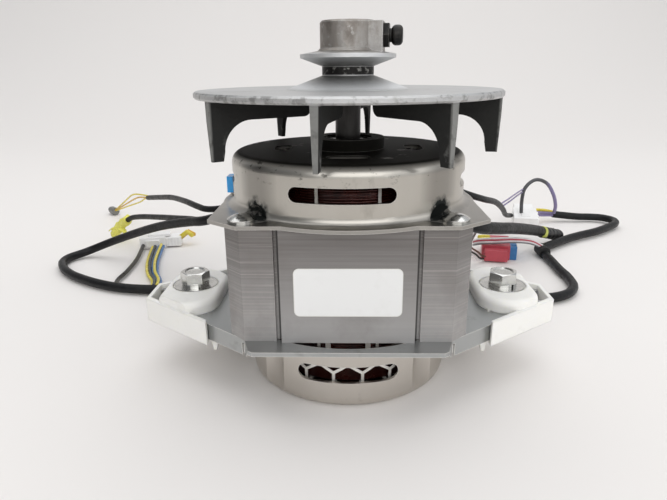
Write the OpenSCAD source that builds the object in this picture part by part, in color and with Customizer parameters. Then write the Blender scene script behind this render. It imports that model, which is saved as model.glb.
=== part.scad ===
/* [Stator core] */
// Width of the square lamination stack
core_w = 105; // [99:1:112]
// Height of the lamination stack
core_h = 51; // [44:1:64]
// Corner chamfer of the stack
core_chamfer = 7.3; // [5:0.1:9]
// Width of the proud panel on each side of the stack
panel_w = 57.6; // [50:0.2:66]
// How far that panel stands proud of the stack
panel_proud = 1.5; // [0.5:0.1:2.5]
// Width of the groove on each side of the panel
groove_w = 2.4; // [1.2:0.1:3.6]
// Depth of that groove
groove_d = 2; // [1:0.1:3]
// Bore of the stack
bore_d = 58.6; // [52:0.2:62]
// Number of winding slots
slot_count = 24; // [18:6:30]
// Width of a winding slot
slot_w = 4.4; // [3.4:0.1:5]
// Depth of a winding slot behind its mouth
slot_depth = 13; // [9:0.5:15]
// Width of the slot mouth at the bore
slot_mouth_w = 2.2; // [1.5:0.1:3]

/* [Windings] */
// Wire bundle diameter of the outer turns
turn_d = 1.6; // [1.2:0.1:1.8]
// Clear gap between neighbouring turns
turn_gap = 0.6; // [0.5:0.05:0.8]
// Number of outer turns on each end winding
turn_count = 7; // [5:1:7]
// Clearance from an end winding's bundle to the lower cup's wall
winding_clear = 5.1; // [4.5:0.1:8]
// Thickness of the slot liner paper
liner_t = 0.4; // [0.3:0.05:0.6]

/* [Upper end bell] */
// Sheet thickness of both bells
bell_sheet = 1.6; // [1.2:0.1:2]
// Outer radius of the upper cup
upper_r = 55.6; // [53:0.2:58]
// Height of the upper cup over the stack
upper_h = 26.1; // [24:0.1:34]
// Rounding of the upper cup's top edge
upper_round = 5; // [3:0.5:7]
// Depth of the flutes over the tie bolts
upper_flute = 3; // [2:0.5:4]
// Reach of the flange past the stack, left and right
flange_over_x = 7.5; // [5:0.5:9]
// Reach of the flange past the stack, front and back
flange_over_y = 1.8; // [1:0.2:4]
// Width of the flange ring around the cup
flange_rim = 5.2; // [4:0.2:6]
// Height of a cooling slot in the upper cup
upper_slot_h = 6.5; // [4:0.5:8]
// Length of a cooling slot in the upper cup
upper_slot_l = 44; // [30:1:50]
// Rise of the bearing boss over the upper cup
boss_rise = 5.3; // [4.5:0.1:7]
// Length of a vent in the top of the upper cup
vent_l = 19; // [10:0.5:22]
// Width of a vent in the top of the upper cup
vent_w = 8; // [5:0.5:10]

/* [Lower end bell] */
// Inset of the lower cup's wall from the stack's sides
lower_inset = 2.5; // [0.5:0.1:3.5]
// Depth of the lower cup under the bracket
lower_h = 34; // [31:0.5:42]
// Rounding of the lower cup's bottom edge
lower_round = 5.5; // [4:0.5:7]
// Depth of the flutes under the tie bolts
lower_flute = 2; // [1:0.5:3]
// Height of a cooling slot in the lower cup
lower_slot_h = 8.2; // [5:0.2:10]
// Length of a cooling slot in the lower cup
lower_slot_l = 46; // [30:1:50]

/* [Tie bolts] */
// Distance of a tie bolt from the stack's side faces
tie_inset = 7.5; // [7:0.1:8.5]
// Tie bolt thread diameter
tie_d = 5; // [4:0.5:6]
// Tie bolt head diameter
tie_head_d = 12; // [8.5:0.5:13]
// Tie bolt head height
tie_head_h = 3.2; // [2.5:0.1:4.5]

/* [Mounting bracket] */
// Sheet thickness of the bracket
bracket_t = 2; // [1.5:0.1:3]
// Reach of the bracket past the stack, front and back
bracket_over = 10.5; // [9:0.5:13]
// Distance between the two mounting bolts
mount_pitch = 160; // [152:1:170]
// Reach of a wing past its mounting bolt
wing_reach = 21; // [19:0.5:24]
// Width of a wing at its tip
wing_tip_w = 16; // [14:1:20]
// Height of the turned-down lips
lip_h = 6; // [4:0.5:7]

/* [Isolator pads] */
// Width of a pad's top boss across the bolt, left to right
pad_w = 30; // [28:0.5:34]
// Length of a pad's top boss, front to back
pad_l = 52; // [44:0.5:54]
// Height of a pad's top boss over the bracket
pad_h = 6.5; // [5:0.5:12]
// How far a pad's top boss stands back from its bolt
pad_shift = 2; // [0:0.5:4]
// Depth of the washer recess in the top boss
recess_d = 1.5; // [1:0.5:4]
// Wall thickness of the pad's edge skirt
skirt_t = 2; // [1.5:0.1:2.6]

/* [Mounting bolts] */
// Mounting bolt thread diameter
bolt_d = 8; // [6:1:10]
// Mounting bolt shank length
bolt_l = 30; // [24:1:40]
// Hex size across flats of the mounting bolt
bolt_af = 13; // [11:0.5:15]
// Hex head height of the mounting bolt
bolt_head_h = 5.5; // [4:0.1:7]
// Flat washer outer diameter
washer_d = 22; // [18:0.5:24]
// Flat washer thickness
washer_t = 1.4; // [1:0.1:2]
// Spring washer thickness
spring_t = 1.8; // [1.4:0.1:2.4]

/* [Shaft and rotor] */
// Shaft diameter
shaft_d = 12; // [10:0.5:12]
// Air gap between rotor and stator
air_gap = 0.4; // [0.3:0.05:0.6]
// Number of rotor bars
bar_count = 28; // [20:2:34]
// Rotor bar diameter
bar_d = 4; // [3:0.1:4.4]
// Height of the rotor's end rings
ring_h = 8; // [5:0.5:10]

/* [Bearings] */
// Bearing outer diameter
bearing_od = 32; // [31:0.5:35]
// Bearing width
bearing_w = 10; // [9:0.5:11]
// Ball diameter
ball_d = 5.2; // [4:0.1:5.6]
// Number of balls
ball_count = 7; // [6:1:8]

/* [Fan pulley] */
// Radius of the fan disc
fan_r = 70.8; // [68:0.2:76]
// Thickness of the fan disc
fan_t = 3.1; // [2.4:0.1:4]
// Height of the fan disc over the upper bell
fan_clear = 23.9; // [18:0.1:30]
// Number of blades
blade_count = 8; // [6:1:10]
// Blade thickness
blade_t = 3.2; // [2.4:0.1:4]
// Thickness of a fan blade at the tip of its finger
blade_tip_t = 1.9; // [1.6:0.1:2.4]
// Depth of a blade near the hub
blade_depth = 8; // [6:0.5:10]
// Depth of a blade's outer finger
finger_depth = 24.6; // [20:0.2:30]
// Width of a finger at its tip
finger_w = 5.6; // [4:0.2:7]
// Radius of the V-groove's floor
groove_r = 12; // [10:0.5:14]
// Width of the V-groove's floor
groove_floor = 4; // [3:0.2:6]
// Radius of the pulley's upper rim
rim_r = 22.1; // [20:0.1:25]
// Height of the pulley's upper rim
rim_t = 1.6; // [1.2:0.1:2.5]
// Radius of the hub
hub_r = 12.8; // [11.5:0.1:14]
// Height of the hub over the rim
hub_h = 12.8; // [12:0.2:18]
// Set screw thread diameter
screw_d = 6; // [5:0.5:6.5]

/* [Fittings] */
// Width of the blank rating label
label_w = 46; // [30:1:50]
// Height of the blank rating label
label_h = 21.7; // [14:0.5:26]
// Outer diameter of a lead grommet
grommet_d = 18; // [16:0.5:18]

/* [Hidden] */
$fn = 96;
fit = 0.02;
slack = 0.3;
eps = 0.01;

core_half = core_w / 2;
lower_r = core_half - lower_inset;
tie_xy = core_half - tie_inset;
tie_r = tie_xy * sqrt(2);
tie_dome_r = 0.8 * tie_head_d;
bracket_z0 = lower_h;
core_z0 = lower_h + bracket_t;
core_z1 = core_z0 + core_h;
upper_z1 = core_z1 + upper_h;
bore_r = bore_d / 2;
slot_r0 = bore_r + 1.6;
slot_r1 = slot_r0 + slot_depth;

// Bearing seats
race_t = 3;
seat_wall = 1.2;
bearing_r = bearing_od / 2;
bearing_bore_r = shaft_d / 2;
pitch_r = (bearing_r + bearing_bore_r) / 2;
preload_t = 1;
seat_lip = 1.2;
upper_bearing_z = upper_z1 + boss_rise - seat_lip - bearing_w;
lower_bearing_z = bell_sheet + preload_t;
seat_hole_r = bearing_r - 4.5;

// Fan pulley levels, from the disc's underside up
fan_z0 = upper_z1 + fan_clear;
fan_z1 = fan_z0 + fan_t;
flank_slope = tan(20);
lower_flank_r = groove_r + 17;
groove_z0 = fan_z1 + (lower_flank_r - groove_r) * flank_slope;
groove_z1 = groove_z0 + groove_floor;
rim_z0 = groove_z1 + (rim_r - groove_r) * flank_slope;
rim_z1 = rim_z0 + rim_t;
hub_z1 = rim_z1 + hub_h + 1.4;
shaft_z0 = lower_bearing_z - 0.5;
shaft_z1 = hub_z1 - 1.2;
screw_z = (rim_z1 + 1.4 + hub_z1) / 2;
screw_turn = -8;
screw_boss_w = 1.2 * hub_r;
screw_boss_l = hub_r + 3.6;
lock_t = 2.5;
lock_af = 10;
screw_neck_l = 0.9;
screw_head_l = 5.1;
screw_head_d = 8.8;
blade_turn = -10;
blade_r0 = 21;
blade_r1 = fan_r - 0.8;

// Rotor
rotor_r = bore_r - air_gap;
bar_r = rotor_r - bar_d / 2 - 1;

// End windings
winding_r0 = slot_r0 + 0.4;
winding_r1 = lower_r - bell_sheet - winding_clear;
winding_t = winding_r1 - winding_r0;
turn_pitch = turn_d + turn_gap;
turn_steps = 24;
turn_angle = 360 / turn_steps;
turn_r = (winding_r1 + slack + turn_d / 2) / cos(turn_angle / 2);
neck_r = turn_r - 2 * turn_d;
turn_lead = 2 * turn_d;
winding_gap = 1;
winding_crown = 2;
winding_room = min(upper_h, lower_h) - bell_sheet - 1;
turns_h = winding_room - winding_gap - turn_lead - turn_d - winding_crown;
turns_used = min(turn_count, floor(turns_h / turn_pitch));
winding_h = winding_gap + turn_lead + turns_used * turn_pitch + turn_d;

// Bracket outline
bracket_half = core_half + bracket_over;
bracket_hole_r = core_half + 7;
shoulder_x = core_half - 12;
root_x = core_half - 5.5;
root_y = core_half - 2.5;
mount_x = mount_pitch / 2;
wing_x = mount_x + wing_reach;
wing_half = wing_tip_w / 2;
lip_t = bracket_t;
wing_slope = (root_y - wing_half) / (wing_x - root_x);
wing_angle = atan(wing_slope);

// Isolator pads
pad_slot_w = 13;
pad_z0 = core_z0;
pad_z1 = pad_z0 + pad_h;
recess_z = pad_z1 - recess_d;
recess_dia = washer_d + 1.6;
tray_z0 = bracket_z0 - lip_h - slack - 1.4;
tray_floor = 1.4;
skirt_z1 = core_z0 + 2.2;
skirt_x0 = mount_x - pad_w / 2 + 1;
washer_z1 = recess_z + washer_t;
spring_z1 = washer_z1 + spring_t;

// Earth terminal on the flange, rear left
earth_y = 7;
earth_tab_t = 0.8;

// Lead grommets at the back of the upper bell
grommet_x = 24;
grommet_z = core_z1 + 12;
grommet_bore_d = grommet_d - 4;
grommet_lip = upper_r - 0.6;
grommet_plug = 11;
turn_out = turn_r + turn_d / 2;
turn_clear = 1;
grommet_in_x = grommet_x - grommet_bore_d / 2;
grommet_in_y = sqrt(turn_out * turn_out - grommet_in_x * grommet_in_x);
grommet_y0 = max(grommet_lip - grommet_plug, grommet_in_y + turn_clear);
grommet_y1 = grommet_lip + 7;

// Harness routes
main_d = 6.5;
main_route = [
    [-24, 61, 96], [-25, 73, 95], [-35, 84, 84], [-55, 87, 68], [-75, 85, 60], [-93, 86, 54], [-116, 105, 47],
    [-141, 127, 38], [-167, 147, 27], [-192, 162, 16], [-211, 167, 8], [-223, 162, 4], [-228, 150, 4],
    [-224, 136, 4], [-211, 119, 4], [-193, 105, 4], [-173, 94, 4], [-150, 87, 4], [-115, 85, 4], [-60, 83, 4],
    [0, 80, 4], [80, 74, 4], [128, 72, 4], [148, 80, 4], [158, 98, 4], [159, 125, 4], [160, 148, 4], [160, 166, 4]
];
branch_d = 4.5;
branch_route = [
    [-28, 61, 102], [-29, 74, 101], [-39, 89, 88], [-58, 95, 69], [-79, 95, 58], [-97, 98, 51],
    [-118, 119, 46], [-151, 158, 37], [-178, 186, 30], [-192, 198, 25], [-203, 207, 16]
];
splice_d = 4.5;
splice_route = [
    [-20, 61, 102], [-20, 76, 102], [-30, 94, 90], [-56, 102, 71], [-78, 103, 60], [-96, 107, 56],
    [-108, 119, 55], [-123, 140, 54], [-145, 176, 49], [-167, 208, 42], [-188, 238, 35], [-206, 259, 27],
    [-229, 285, 16], [-252, 309, 5]
];
jumper_d = 6;
jumper_route = [[-165, 188, 4], [-157, 150, 3.5], [-148, 123, 3.5], [-139, 104, 4], [-136, 91, 4]];
sense_d = 3.2;
sense_route = [[-179, 191, 4], [-172, 155, 3], [-169, 125, 3], [-169, 108, 3], [-166, 95.6, 3.5]];
trunk_d = 9;
trunk_route = [
    [25, 61, 96], [26, 74, 95], [35, 88, 84], [52, 93, 68], [70, 92, 55], [88, 97, 46], [107, 117, 39],
    [128, 145, 31], [155, 178, 20], [176, 200, 11]
];
plug_d = 4.6;
plug_route = [
    [22, 61, 104], [22, 75, 104], [33, 92, 93], [54, 100, 78], [78, 105, 68], [96, 120, 60], [114, 152, 50],
    [132, 196, 34], [146, 234, 19], [159, 262, 11]
];
return_d = 7;
return_route = [
    [182, 270, 11], [196, 278, 9], [213, 279, 7], [230, 278, 5.5], [244, 278.5, 5], [255.3, 273.8, 5],
    [260, 262.5, 5], [255.3, 251.2, 5], [243, 239, 5], [226, 225, 5], [207, 213, 5], [188, 199, 5], [163, 177, 5]
];
loop_d = 3.4;
loop_route = [
    [168, 258, 13], [166, 254, 28], [168, 254, 40], [178, 257, 47], [190, 260, 43], [199, 264, 31],
    [204, 269, 19], [206, 276, 10]
];
pair_d = 4;
pair_route = [
    [161, 170, 7], [150, 167, 13], [135, 163, 15.6], [119, 161, 15.6], [107, 165, 14], [104, 174, 10], [113, 184, 8]
];

// Swept tubes

function unit(v) = v / norm(v);

function path_tangent(path, i) =
    unit(path[min(i + 1, len(path) - 1)] - path[max(i - 1, 0)]);

function across(v, along) = unit(v - along * (v * along));

// Ring normals carried along the path without twist
function path_normals(path, first) = [
    for (
        i = 0, n = across(first, path_tangent(path, 0));
        i < len(path);
        i = i + 1, n = i < len(path) ? across(n, path_tangent(path, i)) : n
    ) n
];

function ring_points(path, first, r, sides) =
    let (normals = path_normals(path, first))
    [
        for (i = [0 : len(path) - 1])
            let (t = path_tangent(path, i), n = normals[i], b = cross(t, n))
            for (k = [0 : sides - 1])
                let (a = 360 * k / sides)
                path[i] + r * (cos(a) * n + sin(a) * b)
    ];

module tube(path, d, sides, first) {
    rings = len(path);
    last = (rings - 1) * sides;
    wall = [
        for (i = [0 : rings - 2], k = [0 : sides - 1])
            let (
                a = i * sides + k,
                b = i * sides + (k + 1) % sides,
                c = a + sides,
                e = b + sides
            )
            each [[a, e, b], [a, c, e]]
    ];
    start_cap = [for (k = [1 : sides - 2]) [0, k, k + 1]];
    end_cap = [for (k = [1 : sides - 2]) [last, last + k + 1, last + k]];
    polyhedron(ring_points(path, first, d / 2, sides), concat(wall, start_cap, end_cap), convexity = 10);
}

module lead(route, d) {
    tube(route, d, 8, [0, 0, 1]);
}

// Outline helpers

module at_ties() {
    for (x = [-1, 1], y = [-1, 1])
        translate([x * tie_xy, y * tie_xy, 0])
            children();
}

module chamfered_square(half, cut) {
    polygon([
        [half, half - cut], [half - cut, half], [cut - half, half], [-half, half - cut],
        [-half, cut - half], [cut - half, -half], [half - cut, -half], [half, cut - half]
    ]);
}

// Flat slot with round ends, centred, long in X
module stadium(length, width) {
    square([length - width, width], center = true);
    for (x = [-1, 1])
        translate([x * (length - width) / 2, 0])
            circle(d = width);
}

// Turned profile of a cup with one rounded rim, open end at z = 0
module cup_profile(r, h, round) {
    square([r - round, h]);
    square([r, h - round]);
    translate([r - round, h - round])
        circle(round);
}

// Stator

module core_outline() {
    difference() {
        union() {
            chamfered_square(core_half, core_chamfer);
            for (a = [0 : 90 : 270])
                rotate(a)
                    translate([-panel_w / 2, 0])
                        square([panel_w, core_half + panel_proud]);
        }
        for (a = [0 : 90 : 270], side = [-1, 1])
            rotate(a)
                translate([side * (panel_w + groove_w) / 2 - groove_w / 2, core_half - groove_d])
                    square([groove_w, groove_d + 1]);
        circle(bore_r);
        for (x = [-1, 1], y = [-1, 1])
            translate([x * tie_xy, y * tie_xy])
                circle(d = tie_d + 2 * slack);
        for (i = [0 : slot_count - 1])
            rotate(360 * i / slot_count)
                slot_outline();
    }
}

module slot_outline() {
    translate([slot_r0, -slot_w / 2])
        square([slot_depth, slot_w]);
    translate([bore_r - 1, -slot_mouth_w / 2])
        square([slot_r0 - bore_r + 2, slot_mouth_w]);
}

module stator_core() {
    color("dimgray")
        translate([0, 0, core_z0])
            linear_extrude(core_h)
                core_outline();
}

// Folded paper liner in every slot, open towards the bore
module slot_liners() {
    color("wheat")
        translate([0, 0, core_z0 - winding_gap / 2])
            linear_extrude(core_h + winding_gap)
                for (i = [0 : slot_count - 1])
                    rotate(360 * i / slot_count)
                        difference() {
                            translate([slot_r0 + slack, fit - slot_w / 2])
                                square([slot_depth - slack - fit, slot_w - 2 * fit]);
                            translate([slot_r0, liner_t - slot_w / 2])
                                square([slot_depth - liner_t, slot_w - 2 * liner_t]);
                        }
}

// Copper filling of the slots, which joins the two end windings
module slot_coils() {
    coil_w = slot_w - 2 * liner_t - 0.4;
    color("sienna")
        translate([0, 0, core_z0 - winding_gap])
            linear_extrude(core_h + 2 * winding_gap)
                for (i = [0 : slot_count - 1])
                    rotate(360 * i / slot_count)
                        translate([winding_r0, -coil_w / 2])
                            square([slot_r1 - winding_r0 - liner_t - 0.2, coil_w]);
}

// One end winding, its face to the stack at z = 0 and its crown up
module winding_body() {
    crown = winding_crown;
    neck_h = 3 * turn_d;
    top = winding_h + crown;
    rotate_extrude()
        difference() {
            translate([winding_r0, winding_gap])
                square([winding_t, top - winding_gap]);
            translate([neck_r, winding_h - neck_h])
                square([winding_t, neck_h + crown + 1]);
            translate([winding_r0 - eps, top - crown])
                difference() {
                    square([crown, crown + 1]);
                    translate([crown, 0])
                        circle(crown);
                }
        }
}

lead_angle = turn_d / turn_r * 180 / PI;
lead_steps = [0, 30, 60];
turns_z0 = winding_gap + turn_lead;

function polar(r, a, z) = [r * cos(a), r * sin(a), z];

// One unbroken wire: square to the stack, round the winding, and square into its neck
function turn_path() =
    let (
        rise = turn_pitch / turn_steps,
        steps = turns_used * turn_steps - turn_steps,
        out_a = steps * turn_angle,
        out_z = turns_z0 + steps * rise
    )
    concat(
        [polar(turn_r, -lead_angle, turns_z0 - 2 * turn_d)],
        [
            for (s = lead_steps)
                polar(turn_r, -lead_angle * cos(s), turns_z0 - turn_d * (1 - sin(s)))
        ],
        [for (i = [0 : steps]) polar(turn_r, i * turn_angle, turns_z0 + i * rise)],
        [
            for (s = [30, 60, 90])
                polar(turn_r - turn_d * (1 - cos(s)), out_a + lead_angle * sin(s), out_z)
        ],
        [polar(neck_r + 0.05, out_a + lead_angle, out_z)]
    );

turns = turn_path();
turn_self_gap = min([
    for (i = [0 : len(turns) - 1], j = [i + 12 : 1 : min(i + 36, len(turns) - 1)])
        norm(turns[i] - turns[j])
]) - turn_d;
echo(turn_self_gap = turn_self_gap);

module winding_turns() {
    tube(turns, turn_d, 6, [1, 0, 0]);
}

module on_upper_face() {
    translate([0, 0, core_z1])
        children();
}

module on_lower_face() {
    translate([0, 0, core_z0])
        mirror([0, 0, 1])
            children();
}

module upper_winding() {
    color("maroon")
        on_upper_face()
            winding_body();
}

module upper_turns() {
    color("firebrick")
        on_upper_face()
            winding_turns();
}

module lower_winding() {
    color("maroon")
        on_lower_face()
            winding_body();
}

module lower_turns() {
    color("firebrick")
        on_lower_face()
            winding_turns();
}

// End bells

module flange_outline() {
    flange_x = core_half + flange_over_x;
    flange_y = core_half + flange_over_y;
    cut_x = flange_x - core_half + 6.5;
    cut_y = flange_y - core_half + 9;
    difference() {
        union() {
            polygon([
                [flange_x, flange_y - cut_y], [flange_x - cut_x, flange_y],
                [cut_x - flange_x, flange_y], [-flange_x, flange_y - cut_y],
                [-flange_x, cut_y - flange_y], [cut_x - flange_x, -flange_y],
                [flange_x - cut_x, -flange_y], [flange_x, cut_y - flange_y]
            ]);
            circle(upper_r + flange_rim);
        }
        for (x = [-1, 1], y = [-1, 1])
            translate([x * tie_xy, y * tie_xy])
                circle(d = tie_d + slack);
    }
}

fillet_r = 3.4;
slot_turn = -2.7;
upper_slot_z = core_z1 + 14;
lower_slot_z = lower_h / 2 + 0.4;

// Straight cooling slot cut through the wall of a cup, at one side
module wall_slot(length, height, z, r) {
    translate([0, -r / 2, z])
        rotate([90, 0, 0])
            linear_extrude(r)
                stadium(length, height);
}

head_clear = 1.2;
flute_r = max(tie_r - upper_r + upper_flute, tie_head_d / 2 + head_clear);

// Turned cup with a rounded rim and a fillet to the flange
module upper_cup() {
    rotate_extrude()
        intersection() {
            union() {
                cup_profile(upper_r, upper_h, upper_round);
                difference() {
                    square([upper_r + fillet_r, bell_sheet + fillet_r]);
                    translate([upper_r + fillet_r, bell_sheet + fillet_r])
                        circle(fillet_r);
                }
            }
            square([2 * upper_r, upper_h]);
        }
}

module upper_shell() {
    linear_extrude(bell_sheet)
        flange_outline();
    difference() {
        upper_cup();
        at_ties()
            sphere(flute_r);
    }
    cylinder(r = bearing_r + seat_wall, h = upper_h + boss_rise);
}

module upper_hollow() {
    seat_z = upper_bearing_z - core_z1;
    difference() {
        translate([0, 0, -1])
            rotate_extrude()
                intersection() {
                    cup_profile(upper_r - bell_sheet, upper_h - bell_sheet + 1, upper_round - bell_sheet);
                    square([upper_r, upper_h + 1]);
                }
        at_ties()
            sphere(flute_r + bell_sheet);
        translate([0, 0, seat_z])
            cylinder(r = bearing_r + seat_wall, h = upper_h);
    }
    translate([0, 0, seat_z - 1])
        cylinder(r = bearing_r + fit, h = bearing_w + 1);
    translate([0, 0, seat_z])
        cylinder(r = seat_hole_r, h = upper_h);
}

module upper_end_bell() {
    color("silver")
        translate([0, 0, core_z1])
            difference() {
                upper_shell();
                upper_hollow();
                for (a = [-90, 0, 90])
                    rotate(a + slot_turn)
                        wall_slot(upper_slot_l, upper_slot_h, upper_slot_z - core_z1, upper_r + 2);
                for (a = [0 : 90 : 270])
                    rotate(a)
                        translate([(upper_r - upper_round + bearing_r) / 2 - 2, 0, upper_h - 3])
                            rotate(90)
                                linear_extrude(4)
                                    stadium(vent_l, vent_w);
                for (x = [-1, 1])
                    translate([x * grommet_x, upper_r / 2, grommet_z - core_z1])
                        rotate([-90, 0, 0])
                            cylinder(d = grommet_bore_d + 2 * fit, h = upper_r);
            }
}

lower_flute_r = tie_r - (lower_r - lower_flute);
lower_flange_half = tie_xy + 4;
lower_flange_cut = 3.2;
rim_vent_w = 0.31 * lower_r;
rim_vent_h = 3.8;

// Turned cup, its mouth at the bracket and its rounded rim down
module lower_cup(r, h, round) {
    translate([0, 0, lower_h])
        mirror([0, 0, 1])
            rotate_extrude()
                intersection() {
                    cup_profile(r, h, round);
                    square([r, h]);
                }
}

module lower_shell() {
    difference() {
        lower_cup(lower_r, lower_h, lower_round);
        at_ties()
            translate([0, 0, -1])
                cylinder(r = lower_flute_r, h = lower_h - bell_sheet / 2 + 1);
    }
    translate([0, 0, lower_h - bell_sheet])
        linear_extrude(bell_sheet)
            difference() {
                chamfered_square(lower_flange_half, lower_flange_cut);
                for (x = [-1, 1], y = [-1, 1])
                    translate([x * tie_xy, y * tie_xy])
                        circle(d = tie_d + slack);
            }
}

module lower_hollow() {
    difference() {
        translate([0, 0, 1])
            lower_cup(lower_r - bell_sheet, lower_h - bell_sheet + 1, lower_round - bell_sheet);
        at_ties()
            translate([0, 0, -1])
                cylinder(r = lower_flute_r + bell_sheet, h = lower_h + 3);
        cylinder(r = bearing_r + seat_wall, h = lower_bearing_z + bearing_w);
    }
    translate([0, 0, bell_sheet])
        cylinder(r = bearing_r + fit, h = bearing_w + preload_t + 1);
}

module lower_end_bell() {
    color("silver")
        difference() {
            lower_shell();
            lower_hollow();
            for (a = [0 : 90 : 270])
                rotate(a)
                    wall_slot(lower_slot_l, lower_slot_h, lower_slot_z, lower_r + 2);
            rim_vents();
        }
}

// Three gaps in the rim under each end of the bracket's hole
module rim_vents() {
    vent_y = 0.76 * lower_r;
    for (side = [0, 180])
        rotate(side)
            for (x = [-0.355, 0, 0.355])
                translate([x * lower_r - rim_vent_w / 2, -lower_r - 1, lower_h - rim_vent_h])
                    cube([rim_vent_w, lower_r + 1 - vent_y, rim_vent_h + 1]);
}

// Bracket

module wing_outline(grow) {
    polygon([
        [root_x - grow, 0], [root_x, root_y + grow], [wing_x + grow, wing_half + grow],
        [wing_x + grow, -wing_half - grow], [root_x, -root_y - grow]
    ]);
}

module bracket_outline() {
    difference() {
        union() {
            square([2 * shoulder_x, 2 * bracket_half], center = true);
            for (side = [0, 180])
                rotate(side) {
                    wing_outline(0);
                    polygon([
                        [0, bracket_half], [shoulder_x, bracket_half],
                        [shoulder_x + 2, bracket_half - 1.5], [root_x - 1.4, root_y + 1.6],
                        [root_x, root_y], [root_x, -root_y], [root_x - 1.4, -root_y - 1.6],
                        [shoulder_x + 2, 1.5 - bracket_half], [shoulder_x, -bracket_half],
                        [0, -bracket_half]
                    ]);
                }
        }
        circle(bracket_hole_r);
        for (x = [-1, 1], y = [-1, 1])
            translate([x * tie_xy, y * tie_xy])
                circle(d = tie_d + slack);
        for (side = [0, 180])
            rotate(side) {
                translate([mount_x, 0])
                    circle(d = pad_slot_w);
                translate([mount_x, -pad_slot_w / 2])
                    square([wing_reach + 1, pad_slot_w]);
                for (y = [-1, 1])
                    translate([leg_x, y * (leg_y + 0.6)])
                        square([leg_w + 0.8, leg_w + 2], center = true);
            }
    }
}

leg_w = 2.8;
leg_x = skirt_x0 + leg_w / 2 + 2.4;
leg_y = pad_l / 2 - 8;

module lip_outline() {
    full_x = lower_flange_half + 2;
    full_y = root_y - (full_x - root_x) * wing_slope;
    thick_y = lip_t / cos(wing_angle);
    for (y = [-1, 1]) {
        polygon([
            [full_x, y * full_y], [wing_x, y * wing_half],
            [wing_x, y * (wing_half - thick_y)], [full_x, y * (full_y - thick_y)]
        ]);
        polygon([
            [root_x, y * root_y], [full_x + 1, y * (full_y - wing_slope)],
            [full_x + 1, y * (full_y - wing_slope - thick_y / 2)], [root_x, y * (root_y - thick_y / 2)]
        ]);
    }
}

module mounting_bracket() {
    color("lightsteelblue")
        union() {
            translate([0, 0, bracket_z0])
                linear_extrude(bracket_t)
                    bracket_outline();
            translate([0, 0, bracket_z0 - lip_h])
                linear_extrude(lip_h + eps)
                    for (side = [0, 180])
                        rotate(side)
                            lip_outline();
            for (x = [0, 1], y = [0, 1])
                mirror([x, 0, 0])
                    mirror([0, y, 0])
                        corner_lip();
        }
}

// Lip on the slanted corner, which fades out towards the front strip
module corner_lip() {
    run_x = root_x - shoulder_x - 3.4;
    run_y = bracket_half - root_y - 3.1;
    run = norm([run_x, run_y]);
    translate([root_x - 1.55, root_y + 1.6, bracket_z0])
        rotate([90, 0, 180 - atan(run_y / run_x)])
            translate([-1, 0, -lip_t / 2])
                linear_extrude(lip_t / 2)
                    polygon([[0, eps], [0, -lip_h], [1, -lip_h], [run, 0], [run, eps]]);
}

// Tie bolts and nuts

module tie_bolts() {
    head_z = core_z1 + bell_sheet;
    nut_z = bracket_z0 - bell_sheet;
    color("gainsboro")
        at_ties() {
            translate([0, 0, nut_z - tie_d])
                cylinder(d = tie_d, h = head_z - nut_z + tie_d + eps);
            translate([0, 0, head_z])
                rotate_extrude()
                    intersection() {
                        square([tie_head_d / 2, tie_head_h]);
                        translate([0, tie_head_h - tie_dome_r])
                            circle(tie_dome_r);
                    }
        }
}

module tie_nuts() {
    nut_h = tie_d * 0.8;
    color("gainsboro")
        at_ties()
            translate([0, 0, bracket_z0 - bell_sheet - nut_h])
                difference() {
                    cylinder(d = tie_d * 1.6, h = nut_h, $fn = 6);
                    translate([0, 0, -1])
                        cylinder(d = tie_d + 2 * fit, h = nut_h + 2);
                }
}

// Blank label on the front panel

module rating_label() {
    label_t = 0.2;
    corner = 2.5;
    color("white")
        translate([0, -core_half - panel_proud, core_z0 + core_h / 2 - 2])
            rotate([90, 0, 0])
                linear_extrude(label_t)
                    union() {
                        square([label_w - 2 * corner, label_h], center = true);
                        square([label_w, label_h - 2 * corner], center = true);
                        for (x = [-1, 1], y = [-1, 1])
                            translate([x * (label_w / 2 - corner), y * (label_h / 2 - corner)])
                                circle(corner);
                    }
}

// Bearings, each with its lower face at z = 0

module outer_race() {
    rotate_extrude()
        difference() {
            translate([bearing_r - race_t, 0])
                square([race_t, bearing_w]);
            translate([pitch_r, bearing_w / 2])
                circle(d = ball_d + 2 * slack);
        }
}

module inner_race() {
    rotate_extrude()
        difference() {
            translate([bearing_bore_r + fit, 0])
                square([race_t - fit, bearing_w]);
            translate([pitch_r, bearing_w / 2])
                circle(d = ball_d + 2 * slack);
        }
}

// Balls held by one flat cage ring
module ball_ring() {
    translate([0, 0, bearing_w / 2]) {
        for (i = [0 : ball_count - 1])
            rotate(360 * i / ball_count)
                translate([pitch_r, 0, 0])
                    sphere(d = ball_d);
        rotate_extrude()
            translate([pitch_r - 0.9, -0.6])
                square([1.8, 1.2]);
    }
}

module at_upper_seat() {
    translate([0, 0, upper_bearing_z])
        children();
}

module at_lower_seat() {
    translate([0, 0, lower_bearing_z])
        children();
}

module upper_outer_race() {
    color("slategray")
        at_upper_seat()
            outer_race();
}

module upper_inner_race() {
    color("slategray")
        at_upper_seat()
            inner_race();
}

module upper_balls() {
    color("whitesmoke")
        at_upper_seat()
            ball_ring();
}

module lower_outer_race() {
    color("slategray")
        at_lower_seat()
            outer_race();
}

module lower_inner_race() {
    color("slategray")
        at_lower_seat()
            inner_race();
}

module lower_balls() {
    color("whitesmoke")
        at_lower_seat()
            ball_ring();
}

module preload_washer() {
    color("gray")
        translate([0, 0, bell_sheet])
            difference() {
                cylinder(r = bearing_r - slack, h = preload_t);
                translate([0, 0, -1])
                    cylinder(r = bearing_r - race_t + 0.5, h = preload_t + 2);
            }
}

// Shaft and rotor

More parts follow.
